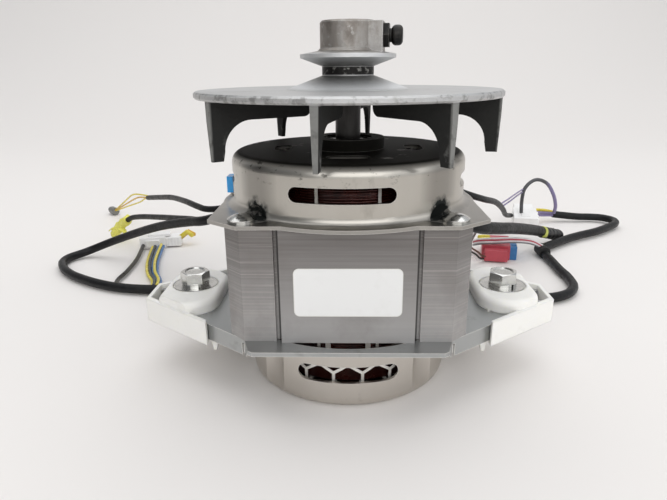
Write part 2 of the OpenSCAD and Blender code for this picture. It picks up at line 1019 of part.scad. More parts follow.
module shaft() {
    color("lightgray")
        difference() {
            translate([0, 0, shaft_z0])
                cylinder(d = shaft_d, h = shaft_z1 - shaft_z0);
            rotate(screw_turn)
                translate([shaft_d / 2 - 0.5, -shaft_d, screw_z - 5])
                    cube([shaft_d, 2 * shaft_d, shaft_z1 - screw_z + 6]);
        }
}

module rotor_core() {
    color("gray")
        translate([0, 0, core_z0])
            linear_extrude(core_h)
                difference() {
                    circle(rotor_r);
                    circle(shaft_d / 2 + fit);
                    for (i = [0 : bar_count - 1])
                        rotate(360 * i / bar_count)
                            translate([bar_r, 0])
                                circle(d = bar_d + 2 * fit);
                }
}

module rotor_cage() {
    color("lightgray") {
        for (z = [core_z0 - ring_h, core_z1])
            translate([0, 0, z])
                difference() {
                    cylinder(r = rotor_r - 0.6, h = ring_h);
                    translate([0, 0, -1])
                        cylinder(r = bar_r - bar_d / 2 - 2, h = ring_h + 2);
                }
        for (i = [0 : bar_count - 1])
            rotate(360 * i / bar_count)
                translate([bar_r, 0, core_z0 - 1])
                    cylinder(d = bar_d, h = core_h + 2, $fn = 32);
    }
}

// Fan pulley

module pulley_profile() {
    edge = 0.8;
    polygon([
        [shaft_d / 2 + fit, fan_z0], [fan_r - edge, fan_z0], [fan_r, fan_z0 + edge],
        [fan_r, fan_z1 - edge], [fan_r - edge, fan_z1], [lower_flank_r, fan_z1],
        [groove_r, groove_z0], [groove_r, groove_z1], [rim_r, rim_z0], [rim_r, rim_z1],
        [hub_r + 1.2, rim_z1 + 1.4], [hub_r, rim_z1 + 2.6], [hub_r, hub_z1 - edge],
        [hub_r - edge, hub_z1], [shaft_d / 2 + fit, hub_z1]
    ]);
}

// Side view of one blade, x along the radius, y below the disc
module blade_outline() {
    sweep_r = finger_depth - blade_depth - 4;
    finger_r0 = blade_r1 - finger_w - 0.8;
    nose = 4;
    difference() {
        union() {
            translate([blade_r0 + nose, -blade_depth])
                square([blade_r1 - blade_r0 - nose, blade_depth + eps]);
            translate([blade_r0, nose - blade_depth])
                square([nose + 1, blade_depth - nose + eps]);
            translate([blade_r0 + nose, nose - blade_depth])
                circle(nose);
            polygon([
                [finger_r0 - sweep_r, -blade_depth + eps], [blade_r1, -blade_depth + eps],
                [blade_r1 - 0.6, -finger_depth], [blade_r1 - finger_w, -finger_depth],
                [finger_r0, -blade_depth - sweep_r], [finger_r0 - sweep_r, -blade_depth - sweep_r]
            ]);
        }
        translate([finger_r0 - sweep_r, -blade_depth - sweep_r])
            circle(sweep_r);
    }
}

// One blade, thinner towards its tip
module blade() {
    intersection() {
        rotate([90, 0, 0])
            linear_extrude(blade_t + 1, center = true)
                blade_outline();
        rotate([90, 0, 90])
            linear_extrude(fan_r)
                polygon([
                    [-blade_t / 2, 1], [blade_t / 2, 1],
                    [blade_tip_t / 2, -finger_depth - 1], [-blade_tip_t / 2, -finger_depth - 1]
                ]);
    }
}

module fan_pulley() {
    color("lightgray")
        difference() {
            union() {
                rotate_extrude()
                    pulley_profile();
                for (i = [0 : blade_count - 1])
                    rotate(blade_turn - 90 + 360 * i / blade_count)
                        translate([0, 0, fan_z0 + eps])
                            blade();
                rotate(screw_turn)
                    translate([shaft_d / 2 + 1, -screw_boss_w / 2, rim_z1 - 0.5])
                        cube([screw_boss_l - shaft_d / 2 - 1, screw_boss_w, hub_z1 - rim_z1]);
            }
            rotate(screw_turn)
                translate([0, 0, screw_z])
                    rotate([0, 90, 0])
                        cylinder(d = screw_d + 2 * fit, h = screw_boss_l + 5);
        }
}

module set_screw() {
    head_x = screw_boss_l + lock_t;
    color([0.12, 0.12, 0.12])
        rotate(screw_turn)
            translate([0, 0, screw_z])
                rotate([0, 90, 0]) {
                    translate([0, 0, shaft_d / 2 - 0.5])
                        cylinder(d = screw_d, h = head_x + screw_neck_l - shaft_d / 2 + 0.5 + eps);
                    translate([0, 0, head_x + screw_neck_l])
                        rotate_extrude()
                            knob_profile(screw_head_d / 2, screw_head_l, 2);
                }
}

// Half section of a round knob with both its rims rounded
module knob_profile(r, l, round) {
    square([r - round, l]);
    translate([0, round])
        square([r, l - 2 * round]);
    for (y = [round, l - round])
        translate([r - round, y])
            circle(round);
}

module lock_nut() {
    color([0.15, 0.15, 0.15])
        rotate(screw_turn)
            translate([screw_boss_l, 0, screw_z])
                rotate([0, 90, 0])
                    difference() {
                        rotate(30)
                            cylinder(d = lock_af / cos(30), h = lock_t, $fn = 6);
                        translate([0, 0, -1])
                            cylinder(d = screw_d + 2 * fit, h = lock_t + 2);
                    }
}

// Isolator pad on the right wing

// Rounded top boss, cut to the wing's edge
module pad_boss() {
    round = 3;
    end_r = pad_w / 2;
    run = pad_l / 2 - end_r;
    intersection() {
        translate([mount_x, pad_shift, pad_z0]) {
            for (y = [-1, 1])
                translate([0, y * run, 0])
                    rotate_extrude()
                        pad_boss_profile(end_r, round);
            rotate([90, 0, 0])
                linear_extrude(2 * run, center = true)
                    for (x = [0, 1])
                        mirror([x, 0])
                            pad_boss_profile(end_r, round);
        }
        translate([0, 0, pad_z0 - 1])
            linear_extrude(pad_h + 2)
                wing_outline(1.4);
    }
}

module pad_boss_profile(r, round) {
    square([r - round, pad_h]);
    square([r, pad_h - round]);
    intersection() {
        translate([r - round, pad_h - round])
            circle(round);
        square([r, pad_h]);
    }
}

// Open tray round the wing's tip, with a floor below the lips
module pad_tray() {
    gap = 0.4;
    translate([0, 0, tray_z0])
        linear_extrude(skirt_z1 - tray_z0)
            intersection() {
                difference() {
                    wing_outline(gap + skirt_t);
                    wing_outline(gap);
                }
                pad_side();
            }
    translate([0, 0, tray_z0])
        linear_extrude(tray_floor)
            intersection() {
                wing_outline(gap + skirt_t / 2);
                pad_side();
            }
}

module pad_side() {
    translate([skirt_x0, -root_y - 10])
        square([wing_x, 2 * root_y + 20]);
}

// Post under the wing and neck in its open slot
module pad_core() {
    post_w = pad_slot_w + 2;
    translate([mount_x - post_w / 2, -post_w / 2, tray_z0])
        cube([post_w, post_w, bracket_z0 - tray_z0]);
    translate([mount_x, 0, bracket_z0 - eps])
        linear_extrude(bracket_t + 2 * eps) {
            circle(d = pad_slot_w - 2 * slack);
            translate([0, slack - pad_slot_w / 2])
                square([pad_w / 2, pad_slot_w - 2 * slack]);
        }
}

// Snap tongues from the tray up through the wing, and pointed prongs below it
module pad_tongues() {
    prong_w = 4.6;
    prong_h = 9.5;
    for (y = [-1, 1]) {
        translate([leg_x, y * leg_y, tray_z0])
            linear_extrude(core_z0 - tray_z0 + eps)
                square(leg_w, center = true);
        translate([skirt_x0 - prong_w + 1.4, y * (leg_y + 8) + 1.5, tray_z0 + tray_floor])
            rotate([90, 0, 0])
                linear_extrude(3)
                    polygon([
                        [0, 0], [prong_w, 0], [prong_w, -tray_floor],
                        [prong_w * 0.68, -prong_h], [prong_w * 0.36, -prong_h], [0, -tray_floor]
                    ]);
    }
}

module isolator() {
    difference() {
        union() {
            pad_boss();
            pad_tray();
            pad_core();
            pad_tongues();
        }
        translate([mount_x, 0, tray_z0 - 1])
            cylinder(d = bolt_d + 0.8, h = pad_z1 - tray_z0 + 2);
        translate([mount_x, 0, recess_z])
            cylinder(d = recess_dia, h = pad_h);
    }
}

module isolator_right() {
    color("white")
        isolator();
}

module isolator_left() {
    color("white")
        rotate(180)
            isolator();
}

// Mounting bolts and washers

module at_mounts() {
    for (x = [-1, 1])
        translate([x * mount_x, 0, 0])
            children();
}

module flat_washers() {
    color("silver")
        at_mounts()
            translate([0, 0, recess_z])
                difference() {
                    cylinder(d = washer_d, h = washer_t);
                    translate([0, 0, -1])
                        cylinder(d = bolt_d + 0.6, h = washer_t + 2);
                }
}

// Split ring with a narrow cut
module spring_washers() {
    ring_d = bolt_d * 1.75;
    color("gainsboro")
        at_mounts()
            translate([0, 0, washer_z1])
                difference() {
                    cylinder(d = ring_d, h = spring_t);
                    translate([0, 0, -1])
                        cylinder(d = bolt_d + 0.4, h = spring_t + 2);
                    rotate(-60)
                        translate([0, -0.7, -1])
                            cube([ring_d, 1.4, spring_t + 2]);
                }
}

module mounting_bolts() {
    corner_d = bolt_af / cos(30);
    color("gainsboro")
        at_mounts() {
            translate([0, 0, spring_z1 - bolt_l])
                cylinder(d = bolt_d - 0.4, h = bolt_l);
            translate([0, 0, tray_z0 - 0.3])
                cylinder(d = bolt_d, h = spring_z1 - tray_z0 + 0.3 + eps);
            translate([0, 0, spring_z1])
                intersection() {
                    rotate(12)
                        cylinder(d = corner_d, h = bolt_head_h, $fn = 6);
                    rotate_extrude()
                        polygon([
                            [0, 0], [corner_d / 2 + 1, 0], [corner_d / 2 + 1, bolt_head_h - 1],
                            [bolt_af / 2 - 0.4, bolt_head_h], [bolt_af / 2 - 1.4, bolt_head_h],
                            [bolt_af / 2 - 2, bolt_head_h - 0.6], [0, bolt_head_h - 0.6]
                        ]);
                }
        }
}

// Earth terminal

earth_x = -upper_r - fillet_r - 0.1;

module earth_tab() {
    color("silver")
        translate([earth_x - earth_tab_t / 2, earth_y - 2.4, core_z1 + bell_sheet])
            cube([earth_tab_t, 4.8, 7]);
}

module earth_terminal() {
    gap = 0.15;
    sleeve_w = 3;
    color("deepskyblue")
        difference() {
            translate([earth_x - sleeve_w / 2, earth_y - 4.2, core_z1 + bell_sheet + 1.8])
                cube([sleeve_w, 8.4, 8]);
            translate([earth_x - earth_tab_t / 2 - gap, earth_y - 2.4 - gap, core_z1])
                cube([earth_tab_t + 2 * gap, 4.8 + 2 * gap, bell_sheet + 7 + gap]);
        }
}

// Rubber grommets at the back of the upper bell

module lead_grommets() {
    color([0.1, 0.1, 0.1])
        for (x = [-1, 1])
            translate([x * grommet_x, 0, grommet_z])
                rotate([-90, 0, 0]) {
                    translate([0, 0, grommet_y0])
                        cylinder(d = grommet_bore_d, h = grommet_y1 - grommet_y0);
                    translate([0, 0, grommet_lip])
                        cylinder(d = grommet_d, h = grommet_y1 - grommet_lip);
                }
}

// Harness

module main_lead() {
    color([0.13, 0.13, 0.13])
        lead(main_route, main_d);
}

module branch_lead() {
    color([0.13, 0.13, 0.13])
        lead(branch_route, branch_d);
}

// Loose wrap of tape from the branch's end to the floor
module branch_tape() {
    color("yellow")
        lead([[-194, 200, 24], [-206, 210, 15], [-216, 219, 4.5]], 8);
}

module splice_lead() {
    color([0.13, 0.13, 0.13])
        lead(splice_route, splice_d);
}

module splice_cap() {
    color("dimgray")
        translate([-250, 307, 4.5])
            rotate([0, 90, 135])
                union() {
                    cylinder(d = 8, h = 9);
                    cylinder(d = 6, h = 13);
                }
}

module left_connector() {
    color("white")
        translate([-166, 198, 0.3])
            rotate(12) {
                translate([-17, -8, 0])
                    cube([22, 16, 10]);
                translate([5, -7, 1])
                    cube([13, 14, 8]);
                translate([-12, -10, 2])
                    cube([12, 3, 6]);
            }
}

module jumper_leads() {
    color("steelblue")
        lead(jumper_route, jumper_d);
}

module sense_lead() {
    color([0.15, 0.12, 0.1])
        lead(sense_route, sense_d);
}

module trunk_lead() {
    color([0.13, 0.13, 0.13])
        lead(trunk_route, trunk_d);
}

module trunk_tape() {
    color("yellowgreen")
        lead([[164, 187, 16], [178, 202, 10], [187, 210, 6.2]], 10.8);
}

module plug_lead() {
    color([0.13, 0.13, 0.13])
        lead(plug_route, plug_d);
}

module right_connector() {
    color("white")
        translate([170, 249, 0.3])
            rotate([15, 0, -10]) {
                translate([-11, 0, 0])
                    cube([22, 22, 12]);
                translate([-9, 22, 1])
                    cube([18, 12, 10]);
            }
}

module return_lead() {
    color([0.13, 0.13, 0.13])
        lead(return_route, return_d);
}

module loop_lead() {
    color("mediumpurple")
        lead(loop_route, loop_d);
}

module lead_pair() {
    color("mistyrose")
        lead(pair_route, pair_d);
}

module right_splice() {
    color([0.1, 0.1, 0.1])
        translate([160, 163, 5])
            rotate([-90, 0, 0])
                cylinder(d = 9.4, h = 13);
}

module red_connector() {
    color("indianred")
        translate([123, 176, 0.3])
            rotate(-12) {
                translate([-11, -16, 0])
                    cube([22, 30, 12]);
                translate([-9, -24, 1])
                    cube([18, 9, 9]);
                translate([10, -14, 0])
                    cube([6.5, 27, 11]);
            }
}

stator_core();
slot_liners();
slot_coils();
upper_winding();
upper_turns();
lower_winding();
lower_turns();
upper_end_bell();
lower_end_bell();
mounting_bracket();
tie_bolts();
tie_nuts();
rating_label();
upper_outer_race();
upper_inner_race();
upper_balls();
lower_outer_race();
lower_inner_race();
lower_balls();
preload_washer();
shaft();
rotor_core();
rotor_cage();
fan_pulley();
set_screw();
lock_nut();
isolator_left();
isolator_right();
flat_washers();
spring_washers();
mounting_bolts();
earth_tab();
earth_terminal();
lead_grommets();
main_lead();
branch_lead();
branch_tape();
splice_lead();
splice_cap();
left_connector();
jumper_leads();
sense_lead();
trunk_lead();
trunk_tape();
plug_lead();
right_connector();
return_lead();
loop_lead();
lead_pair();
right_splice();
red_connector();
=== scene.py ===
import math

import bmesh
import bpy
from mathutils import Matrix, Vector, noise


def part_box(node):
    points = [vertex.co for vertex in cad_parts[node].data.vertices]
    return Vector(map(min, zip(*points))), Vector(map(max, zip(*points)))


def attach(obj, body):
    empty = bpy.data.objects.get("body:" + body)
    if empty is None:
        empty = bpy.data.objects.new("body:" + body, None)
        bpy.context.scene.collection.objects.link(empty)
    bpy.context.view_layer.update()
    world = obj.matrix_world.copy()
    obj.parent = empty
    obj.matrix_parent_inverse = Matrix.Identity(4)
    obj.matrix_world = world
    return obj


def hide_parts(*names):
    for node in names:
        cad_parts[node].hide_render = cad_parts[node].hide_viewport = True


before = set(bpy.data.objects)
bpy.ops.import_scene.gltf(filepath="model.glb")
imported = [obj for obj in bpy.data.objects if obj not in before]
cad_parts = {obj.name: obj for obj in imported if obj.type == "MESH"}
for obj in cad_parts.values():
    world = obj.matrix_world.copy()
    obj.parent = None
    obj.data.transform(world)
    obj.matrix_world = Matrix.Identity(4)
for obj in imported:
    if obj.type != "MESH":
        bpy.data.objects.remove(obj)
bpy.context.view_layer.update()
scene = bpy.context.scene
scene.view_settings.view_transform = "Standard"

# Camera: a phone-like lens close to the motor, a little above it and looking down.
# Its place is in metres from the motor's axis and the floor, and the angles are in radians.
image_width = 667
focal_pixels = 558.19
camera_place = (0, -0.27184, 0.14961)
camera_pitch = 0.3154
camera_roll = 0.0086
camera_yaw = -0.02733
camera_data = bpy.data.cameras.new("camera")
camera_data.sensor_width = 36.0
camera_data.sensor_fit = "HORIZONTAL"
camera_data.lens = camera_data.sensor_width * focal_pixels / image_width
camera_data.clip_start = 0.01
camera_data.clip_end = 50.0
camera = bpy.data.objects.new("camera", camera_data)
scene.collection.objects.link(camera)
scene.camera = camera
camera_forward = Vector((
    math.sin(camera_yaw) * math.cos(camera_pitch),
    math.cos(camera_yaw) * math.cos(camera_pitch),
    -math.sin(camera_pitch),
))
camera_level = Vector((math.cos(camera_yaw), -math.sin(camera_yaw), 0))
camera_down = camera_forward.cross(camera_level)
camera_right = camera_level * math.cos(camera_roll) + camera_down * math.sin(camera_roll)
camera_up = camera_level * math.sin(camera_roll) - camera_down * math.cos(camera_roll)
camera_turn = Matrix((camera_right, camera_up, -camera_forward)).transposed()
camera.matrix_world = Matrix.Translation(camera_place) @ camera_turn.to_4x4()


# Studio: one sheet of pale warm paper that lies flat and sweeps up behind the motor.
# It is matte, so the motor only leaves a soft shadow on it.
def link_piece(name, data, material):
    data.materials.append(material)
    piece = bpy.data.objects.new(name, data)
    scene.collection.objects.link(piece)
    return piece


def mesh_piece(name, verts, faces, material, smooth=True):
    mesh = bpy.data.meshes.new(name)
    mesh.from_pydata(verts, [], faces)
    for face in mesh.polygons:
        face.use_smooth = smooth
    return link_piece(name, mesh, material)


def shader_input(tree, name):
    return tree.nodes["Principled BSDF"].inputs[name]


def new_finish(name, roughness, metallic=0.0):
    """A new material and its nodes."""
    made = bpy.data.materials.new(name)
    made.use_nodes = True
    shader_input(made.node_tree, "Roughness").default_value = roughness
    shader_input(made.node_tree, "Metallic").default_value = metallic
    return made, made.node_tree


paper_matte, tree = new_finish("paper_matte", 0.95)
shader_input(tree, "Base Color").default_value = (0.85, 0.82, 0.795, 1)
paper_half_width = 4.0
paper_front = -3.0
paper_bend = 0.9
paper_bend_radius = 1.8
paper_bend_angle = math.radians(85)
paper_bend_steps = 40
paper_profile = [(paper_front, 0.0)]
for step in range(paper_bend_steps + 1):
    angle = paper_bend_angle * step / paper_bend_steps
    paper_profile.append((
        paper_bend + paper_bend_radius * math.sin(angle),
        paper_bend_radius * (1 - math.cos(angle)),
    ))
paper_verts = [(x, y, z) for y, z in paper_profile for x in (-paper_half_width, paper_half_width)]
paper_faces = [(2 * i, 2 * i + 1, 2 * i + 3, 2 * i + 2) for i in range(len(paper_profile) - 1)]
paper = mesh_piece("paper_sweep", paper_verts, paper_faces, paper_matte)


# Light: one broad soft box overhead, a smaller one on the right and one behind the camera.
# The room itself is a plain pale grey, darker on the left.
def feed(tree, value, socket):
    """Links an output to a socket, or sets the socket to a constant."""
    if isinstance(value, bpy.types.NodeSocket):
        tree.links.new(value, socket)
    else:
        socket.default_value = value


def stepped(tree, value, low, high, at_low=0.0, at_high=1.0):
    """A mask from 0 to 1, or from at_low to at_high, while a value goes from low to high."""
    span = tree.nodes.new("ShaderNodeMapRange")
    feed(tree, value, span.inputs["Value"])
    feed(tree, low, span.inputs["From Min"])
    feed(tree, high, span.inputs["From Max"])
    span.inputs["To Min"].default_value = at_low
    span.inputs["To Max"].default_value = at_high
    return span.outputs["Result"]


plain_maths = "ShaderNodeMath"
vector_maths = "ShaderNodeVectorMath"


def worked_out(tree, kind, operation, *values):
    """The output of a maths node that works on the values, in their order."""
    node = tree.nodes.new(kind)
    node.operation = operation
    for value, socket in zip(values, node.inputs):
        feed(tree, value, socket)
    number_made = kind == plain_maths or operation in ("DOT_PRODUCT", "DISTANCE", "LENGTH")
    return node.outputs["Value" if number_made else "Vector"]


world = bpy.data.worlds.new("room")
scene.world = world
world.use_nodes = True
room_tree = world.node_tree
room = room_tree.nodes["Background"]
room.inputs["Color"].default_value = (0.95, 0.97, 1.0, 1)
room_way = room_tree.nodes.new("ShaderNodeTexCoord")
room_bright_side = (0.9, 0.35, 0.25)
room_dot = worked_out(
    room_tree, vector_maths, "DOT_PRODUCT", room_way.outputs["Generated"], room_bright_side
)
room_tree.links.new(stepped(room_tree, room_dot, -0.9, 0.6, 0.14, 0.70), room.inputs["Strength"])


def soft_box(name, place, target, width, height, power):
    lamp = bpy.data.lights.new(name, "AREA")
    lamp.shape = "RECTANGLE"
    lamp.size = width
    lamp.size_y = height
    lamp.energy = power
    made = bpy.data.objects.new(name, lamp)
    made.location = place
    made.rotation_mode = "QUATERNION"
    made.rotation_quaternion = (Vector(target) - Vector(place)).to_track_quat("-Z", "Y")
    scene.collection.objects.link(made)


soft_box("overhead_box", (-0.1, 0.35, 2.3), (0, 0.2, 0), 3.2, 2.8, 31)
soft_box("right_box", (1.3, -0.5, 0.7), (0, 0, 0.08), 0.9, 0.9, 1.5)
soft_box("front_box", (0.2, -2.4, 1.4), (0, 0.1, 0.08), 3.6, 2.0, 36)


# Stator core: a stack of thin steel stampings, clamped and welded down its side grooves.
# Its sheared edges show as fine lines across a dull grey face, with darker oil stains, and painted shade
# towards the top and in the side grooves.
def make_group(name, **inputs):
    """A node group that puts out one mask, with its inputs and the socket that takes the mask."""
    group = bpy.data.node_groups.new(name, "ShaderNodeTree")
    for socket_name, value in inputs.items():
        kind = "NodeSocketVector" if isinstance(value, tuple) else "NodeSocketFloat"
        made = group.interface.new_socket(socket_name, in_out="INPUT", socket_type=kind)
        made.default_value = value
    group.interface.new_socket("Mask", in_out="OUTPUT", socket_type="NodeSocketFloat")
    start = group.nodes.new("NodeGroupInput")
    end = group.nodes.new("NodeGroupOutput")
    return group, start.outputs, end.inputs["Mask"]


def use_group(tree, group, **values):
    node = tree.nodes.new("ShaderNodeGroup")
    node.node_tree = group
    for socket_name, value in values.items():
        node.inputs[socket_name].default_value = value
    return node.outputs["Mask"]


blotch_group, ends, mask_out = make_group("blotches", Scale=40.0, Stretch=(1, 1, 1), Low=0.45, High=0.65)
blotch_place = blotch_group.nodes.new("ShaderNodeTexCoord")
blotch_mapping = blotch_group.nodes.new("ShaderNodeMapping")
blotch_noise = blotch_group.nodes.new("ShaderNodeTexNoise")
blotch_noise.inputs["Detail"].default_value = 6.0
blotch_noise.inputs["Roughness"].default_value = 0.6
blotch_group.links.new(blotch_place.outputs["Object"], blotch_mapping.inputs["Vector"])
blotch_group.links.new(ends["Stretch"], blotch_mapping.inputs["Scale"])
blotch_group.links.new(blotch_mapping.outputs["Vector"], blotch_noise.inputs["Vector"])
blotch_group.links.new(ends["Scale"], blotch_noise.inputs["Scale"])
blotch_mask = stepped(blotch_group, blotch_noise.outputs["Fac"], ends["Low"], ends["High"])
blotch_group.links.new(blotch_mask, mask_out)

upward = (0, 0, 1)
sideways = (1, 0, 0)
lengthways = (0, 1, 0)
along_group, ends, mask_out = make_group("along_axis", Axis=upward, Low=0.0, High=1.0)
along_place = along_group.nodes.new("ShaderNodeTexCoord")
along_mirror = worked_out(along_group, vector_maths, "ABSOLUTE", along_place.outputs["Object"])
along_dot = worked_out(along_group, vector_maths, "DOT_PRODUCT", along_mirror, ends["Axis"])
along_group.links.new(stepped(along_group, along_dot, ends["Low"], ends["High"]), mask_out)


def blotches(tree, scale, low, high, stretch=(1, 1, 1)):
    return use_group(tree, blotch_group, Scale=scale, Low=low, High=high, Stretch=stretch)


def along(tree, low, high, axis=upward):
    """Mask that rises from 0 to 1 along one axis, the same on both sides of the middle."""
    return use_group(tree, along_group, Axis=axis, Low=low, High=high)


def both(first, second):
    """Mask of the places that two masks share."""
    return worked_out(first.id_data, plain_maths, "MULTIPLY", first, second)


def band(tree, rise, fall, axis=upward):
    """Mask of a stripe; each of its two edges goes from a clear place to a full one."""
    return both(along(tree, *rise, axis), along(tree, *fall, axis))


def layered(tree, base, layers):
    """Base colour with more colours laid over it, each through its mask and at its strength."""
    colour = (*base, 1)
    for mask, strength, over in layers:
        mix = tree.nodes.new("ShaderNodeMix")
        mix.data_type = "RGBA"
        tree.links.new(worked_out(tree, plain_maths, "MULTIPLY", mask, strength), mix.inputs[0])
        feed(tree, colour, mix.inputs[6])
        mix.inputs[7].default_value = (*over, 1)
        colour = mix.outputs[2]
    tree.links.new(colour, shader_input(tree, "Base Color"))


def between(tree, mask, at_zero, at_one, socket="Roughness"):
    """Drives one input of the shader from a mask, between two values."""
    tree.links.new(stepped(tree, mask, 0.0, 1.0, at_zero, at_one), shader_input(tree, socket))


def raised(tree, height, distance, strength):
    bump = tree.nodes.new("ShaderNodeBump")
    bump.inputs["Distance"].default_value = distance
    bump.inputs["Strength"].default_value = strength
    tree.links.new(height, bump.inputs["Height"])
    tree.links.new(bump.outputs["Normal"], shader_input(tree, "Normal"))


def dress(material, *names):
    for name in names:
        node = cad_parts[name]
        node.data.materials.clear()
        node.data.materials.append(material)


core_low, core_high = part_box("stator_core")
lower_face = core_low.z * 1000
upper_face = core_high.z * 1000
lamination_pitch = 0.0005
wave_period = 0.314
lamination_steel, tree = new_finish("lamination_steel", 0.5, 0.5)
sheet_place = tree.nodes.new("ShaderNodeTexCoord")
sheet_wave = tree.nodes.new("ShaderNodeTexWave")
sheet_wave.wave_type = "BANDS"
sheet_wave.bands_direction = "Z"
sheet_wave.inputs["Scale"].default_value = wave_period / lamination_pitch
sheet_wave.inputs["Distortion"].default_value = 0.6
sheet_wave.inputs["Detail"].default_value = 2.0
tree.links.new(sheet_place.outputs["Object"], sheet_wave.inputs["Vector"])
sheet_lines = sheet_wave.outputs["Fac"]
sheet_bands = blotches(tree, 60, 0.35, 0.7, (0.15, 0.15, 14))
flank_lines = both(
    blotches(tree, 60, 0.52, 0.66, (0.1, 0.1, 22)), along(tree, 0.029, 0.031, sideways)
)
core_stain = blotches(tree, 35, 0.52, 0.72)
# Painted shade: the face is painted darker towards the top, where the bell's flange shades it.
core_top_shade = along(tree, core_low.z + 0.008, core_high.z - 0.006)
# Painted shade: the side grooves are painted near black, as a dark line beside each panel.
groove_near = 0.0288
groove_far = 0.0302
groove_soft = 0.0004
groove_edges = (groove_near, groove_near + groove_soft), (groove_far, groove_far - groove_soft)
groove_shade = (0.03, 0.028, 0.026)
layered(tree, (0.40, 0.39, 0.385), [
    (core_top_shade, 1, (0.145, 0.132, 0.125)),
    (sheet_bands, 0.35, (0.36, 0.35, 0.34)),
    (flank_lines, 0.5, (0.50, 0.46, 0.44)),
    (core_stain, 0.35, (0.20, 0.18, 0.165)),
    (sheet_lines, 0.16, (0.14, 0.135, 0.13)),
    (band(tree, *groove_edges, sideways), 0.85, groove_shade),
    (band(tree, *groove_edges, lengthways), 0.85, groove_shade),
])
between(tree, core_stain, 0.42, 0.6)
raised(tree, sheet_lines, 0.00006, 0.5)
dress(lamination_steel, "stator_core", "rotor_core")

# Slot liners: folded sheets of stiff insulating paper that line each slot of the core.
# They are cream, matte and slightly varnished.
liner_paper, tree = new_finish("liner_paper", 0.7)
liner_tone = blotches(tree, 200, 0.35, 0.7)
layered(tree, (0.62, 0.50, 0.30), [(liner_tone, 1, (0.50, 0.38, 0.20))])
dress(liner_paper, "slot_liners")


# Windings: enamelled copper wire, dark red under its varnish, packed in the slots and
# turned back round the stack's two faces in thick rings.
def clouded(name, base, over, cloud, dull, strength=1, metallic=0.0):
    """A finish of one colour clouded with another; dull holds the roughness of the two."""
    made, tree = new_finish(name, dull[0], metallic)
    mask = blotches(tree, *cloud)
    layered(tree, base, [(mask, strength, over)])
    between(tree, mask, *dull)
    return made, tree


def polar(radius, angle, height):
    return Vector((radius * math.cos(angle), radius * math.sin(angle), height))


def round_curve(name, kind, diameter, roundness, material):
    """A round wire as a curve, and the one open spline that it follows."""
    curve = bpy.data.curves.new(name, "CURVE")
    curve.dimensions = "3D"
    curve.bevel_depth = diameter / 2
    curve.bevel_resolution = roundness
    curve.use_fill_caps = True
    return link_piece(name, curve, material), curve.splines.new(kind)


def tube_faces(rings, sides, start=0):
    """Faces of a closed tube whose rings of points follow each other."""
    end = start + (rings - 1) * sides
    faces = [tuple(range(start, start + sides))[::-1], tuple(range(end, end + sides))]
    for i in range(rings - 1):
        for k in range(sides):
            a = start + i * sides + k
            b = start + i * sides + (k + 1) % sides
            faces.append((a, b, b + sides, a + sides))
    return faces


def settle(piece, node=None):
    """Fixes a piece to the stator and hides the node that it stands for."""
    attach(piece, "stator")
    if node:
        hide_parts(node)


copper_enamel, tree = clouded(
    "copper_enamel", (0.085, 0.015, 0.010), (0.022, 0.006, 0.005), (120, 0.35, 0.7), (0.24, 0.4),
    metallic=0.55,
)
shader_input(tree, "Coat Weight").default_value = 0.4
slot_count = 24
winding_inner = 31.5
winding_outer = 43.2
winding_neck = 41.6
winding_foot = 1.1
winding_shoulder = 16.4
winding_wobble = 0.12
winding_steps = 144
winding_wire = 1.1
winding_wire_start = 2.2
winding_turns = 13
turn_steps = 30
upper_crown = 23.1
lower_crown = 27


def wound_ring(name, face, up, crown):
    """The bundle of one end winding, crowned away from the stack and lobed by its coils."""
    profile = [
        (winding_inner, winding_foot), (winding_outer, winding_foot), (winding_outer, winding_shoulder),
        (winding_neck, winding_shoulder + 0.5), (winding_neck, crown - 1.7),
        (winding_neck - 0.8, crown - 0.5), (winding_neck - 2.2, crown), (winding_inner + 2.2, crown),
        (winding_inner + 0.7, crown - 0.7), (winding_inner, crown - 2.3),
    ]
    count = len(profile)
    verts = []
    faces = []
    for i in range(winding_steps):
        angle = 2 * math.pi * i / winding_steps
        lobe = winding_wobble * math.cos(slot_count * angle)
        j = (i + 1) % winding_steps
        for k, (r, z) in enumerate(profile):
            n = (k + 1) % count
            verts.append(polar(r + lobe, angle, face + up * z) / 1000)
            faces.append((i * count + k, j * count + k, j * count + n, i * count + n))
    return mesh_piece(name, verts, faces, copper_enamel)


def wound_wire(name, face, up):
    """The outer wire of one end winding, laid in one unbroken helix."""
    pitch = winding_wire * 1.08
    radius = winding_outer + 0.25 + winding_wire / 2
    piece, spline = round_curve(name, "POLY", winding_wire / 1000, 1, copper_enamel)
    spline.points.add(winding_turns * turn_steps)
    for i, knot in enumerate(spline.points):
        turns = i / turn_steps
        height = face + up * (winding_wire_start + pitch * turns)
        knot.co = (*(polar(radius, 2 * math.pi * turns, height) / 1000), 1)
    return piece


ends_of_stack = (("upper", upper_face, 1, upper_crown), ("lower", lower_face, -1, lower_crown))
for where, face, up, crown in ends_of_stack:
    ring = wound_ring(f"{where}_wound_ring", face, up, crown)
    settle(ring, f"{where}_winding")
    wire = wound_wire(f"{where}_wound_wire", face, up)
    settle(wire, f"{where}_turns")

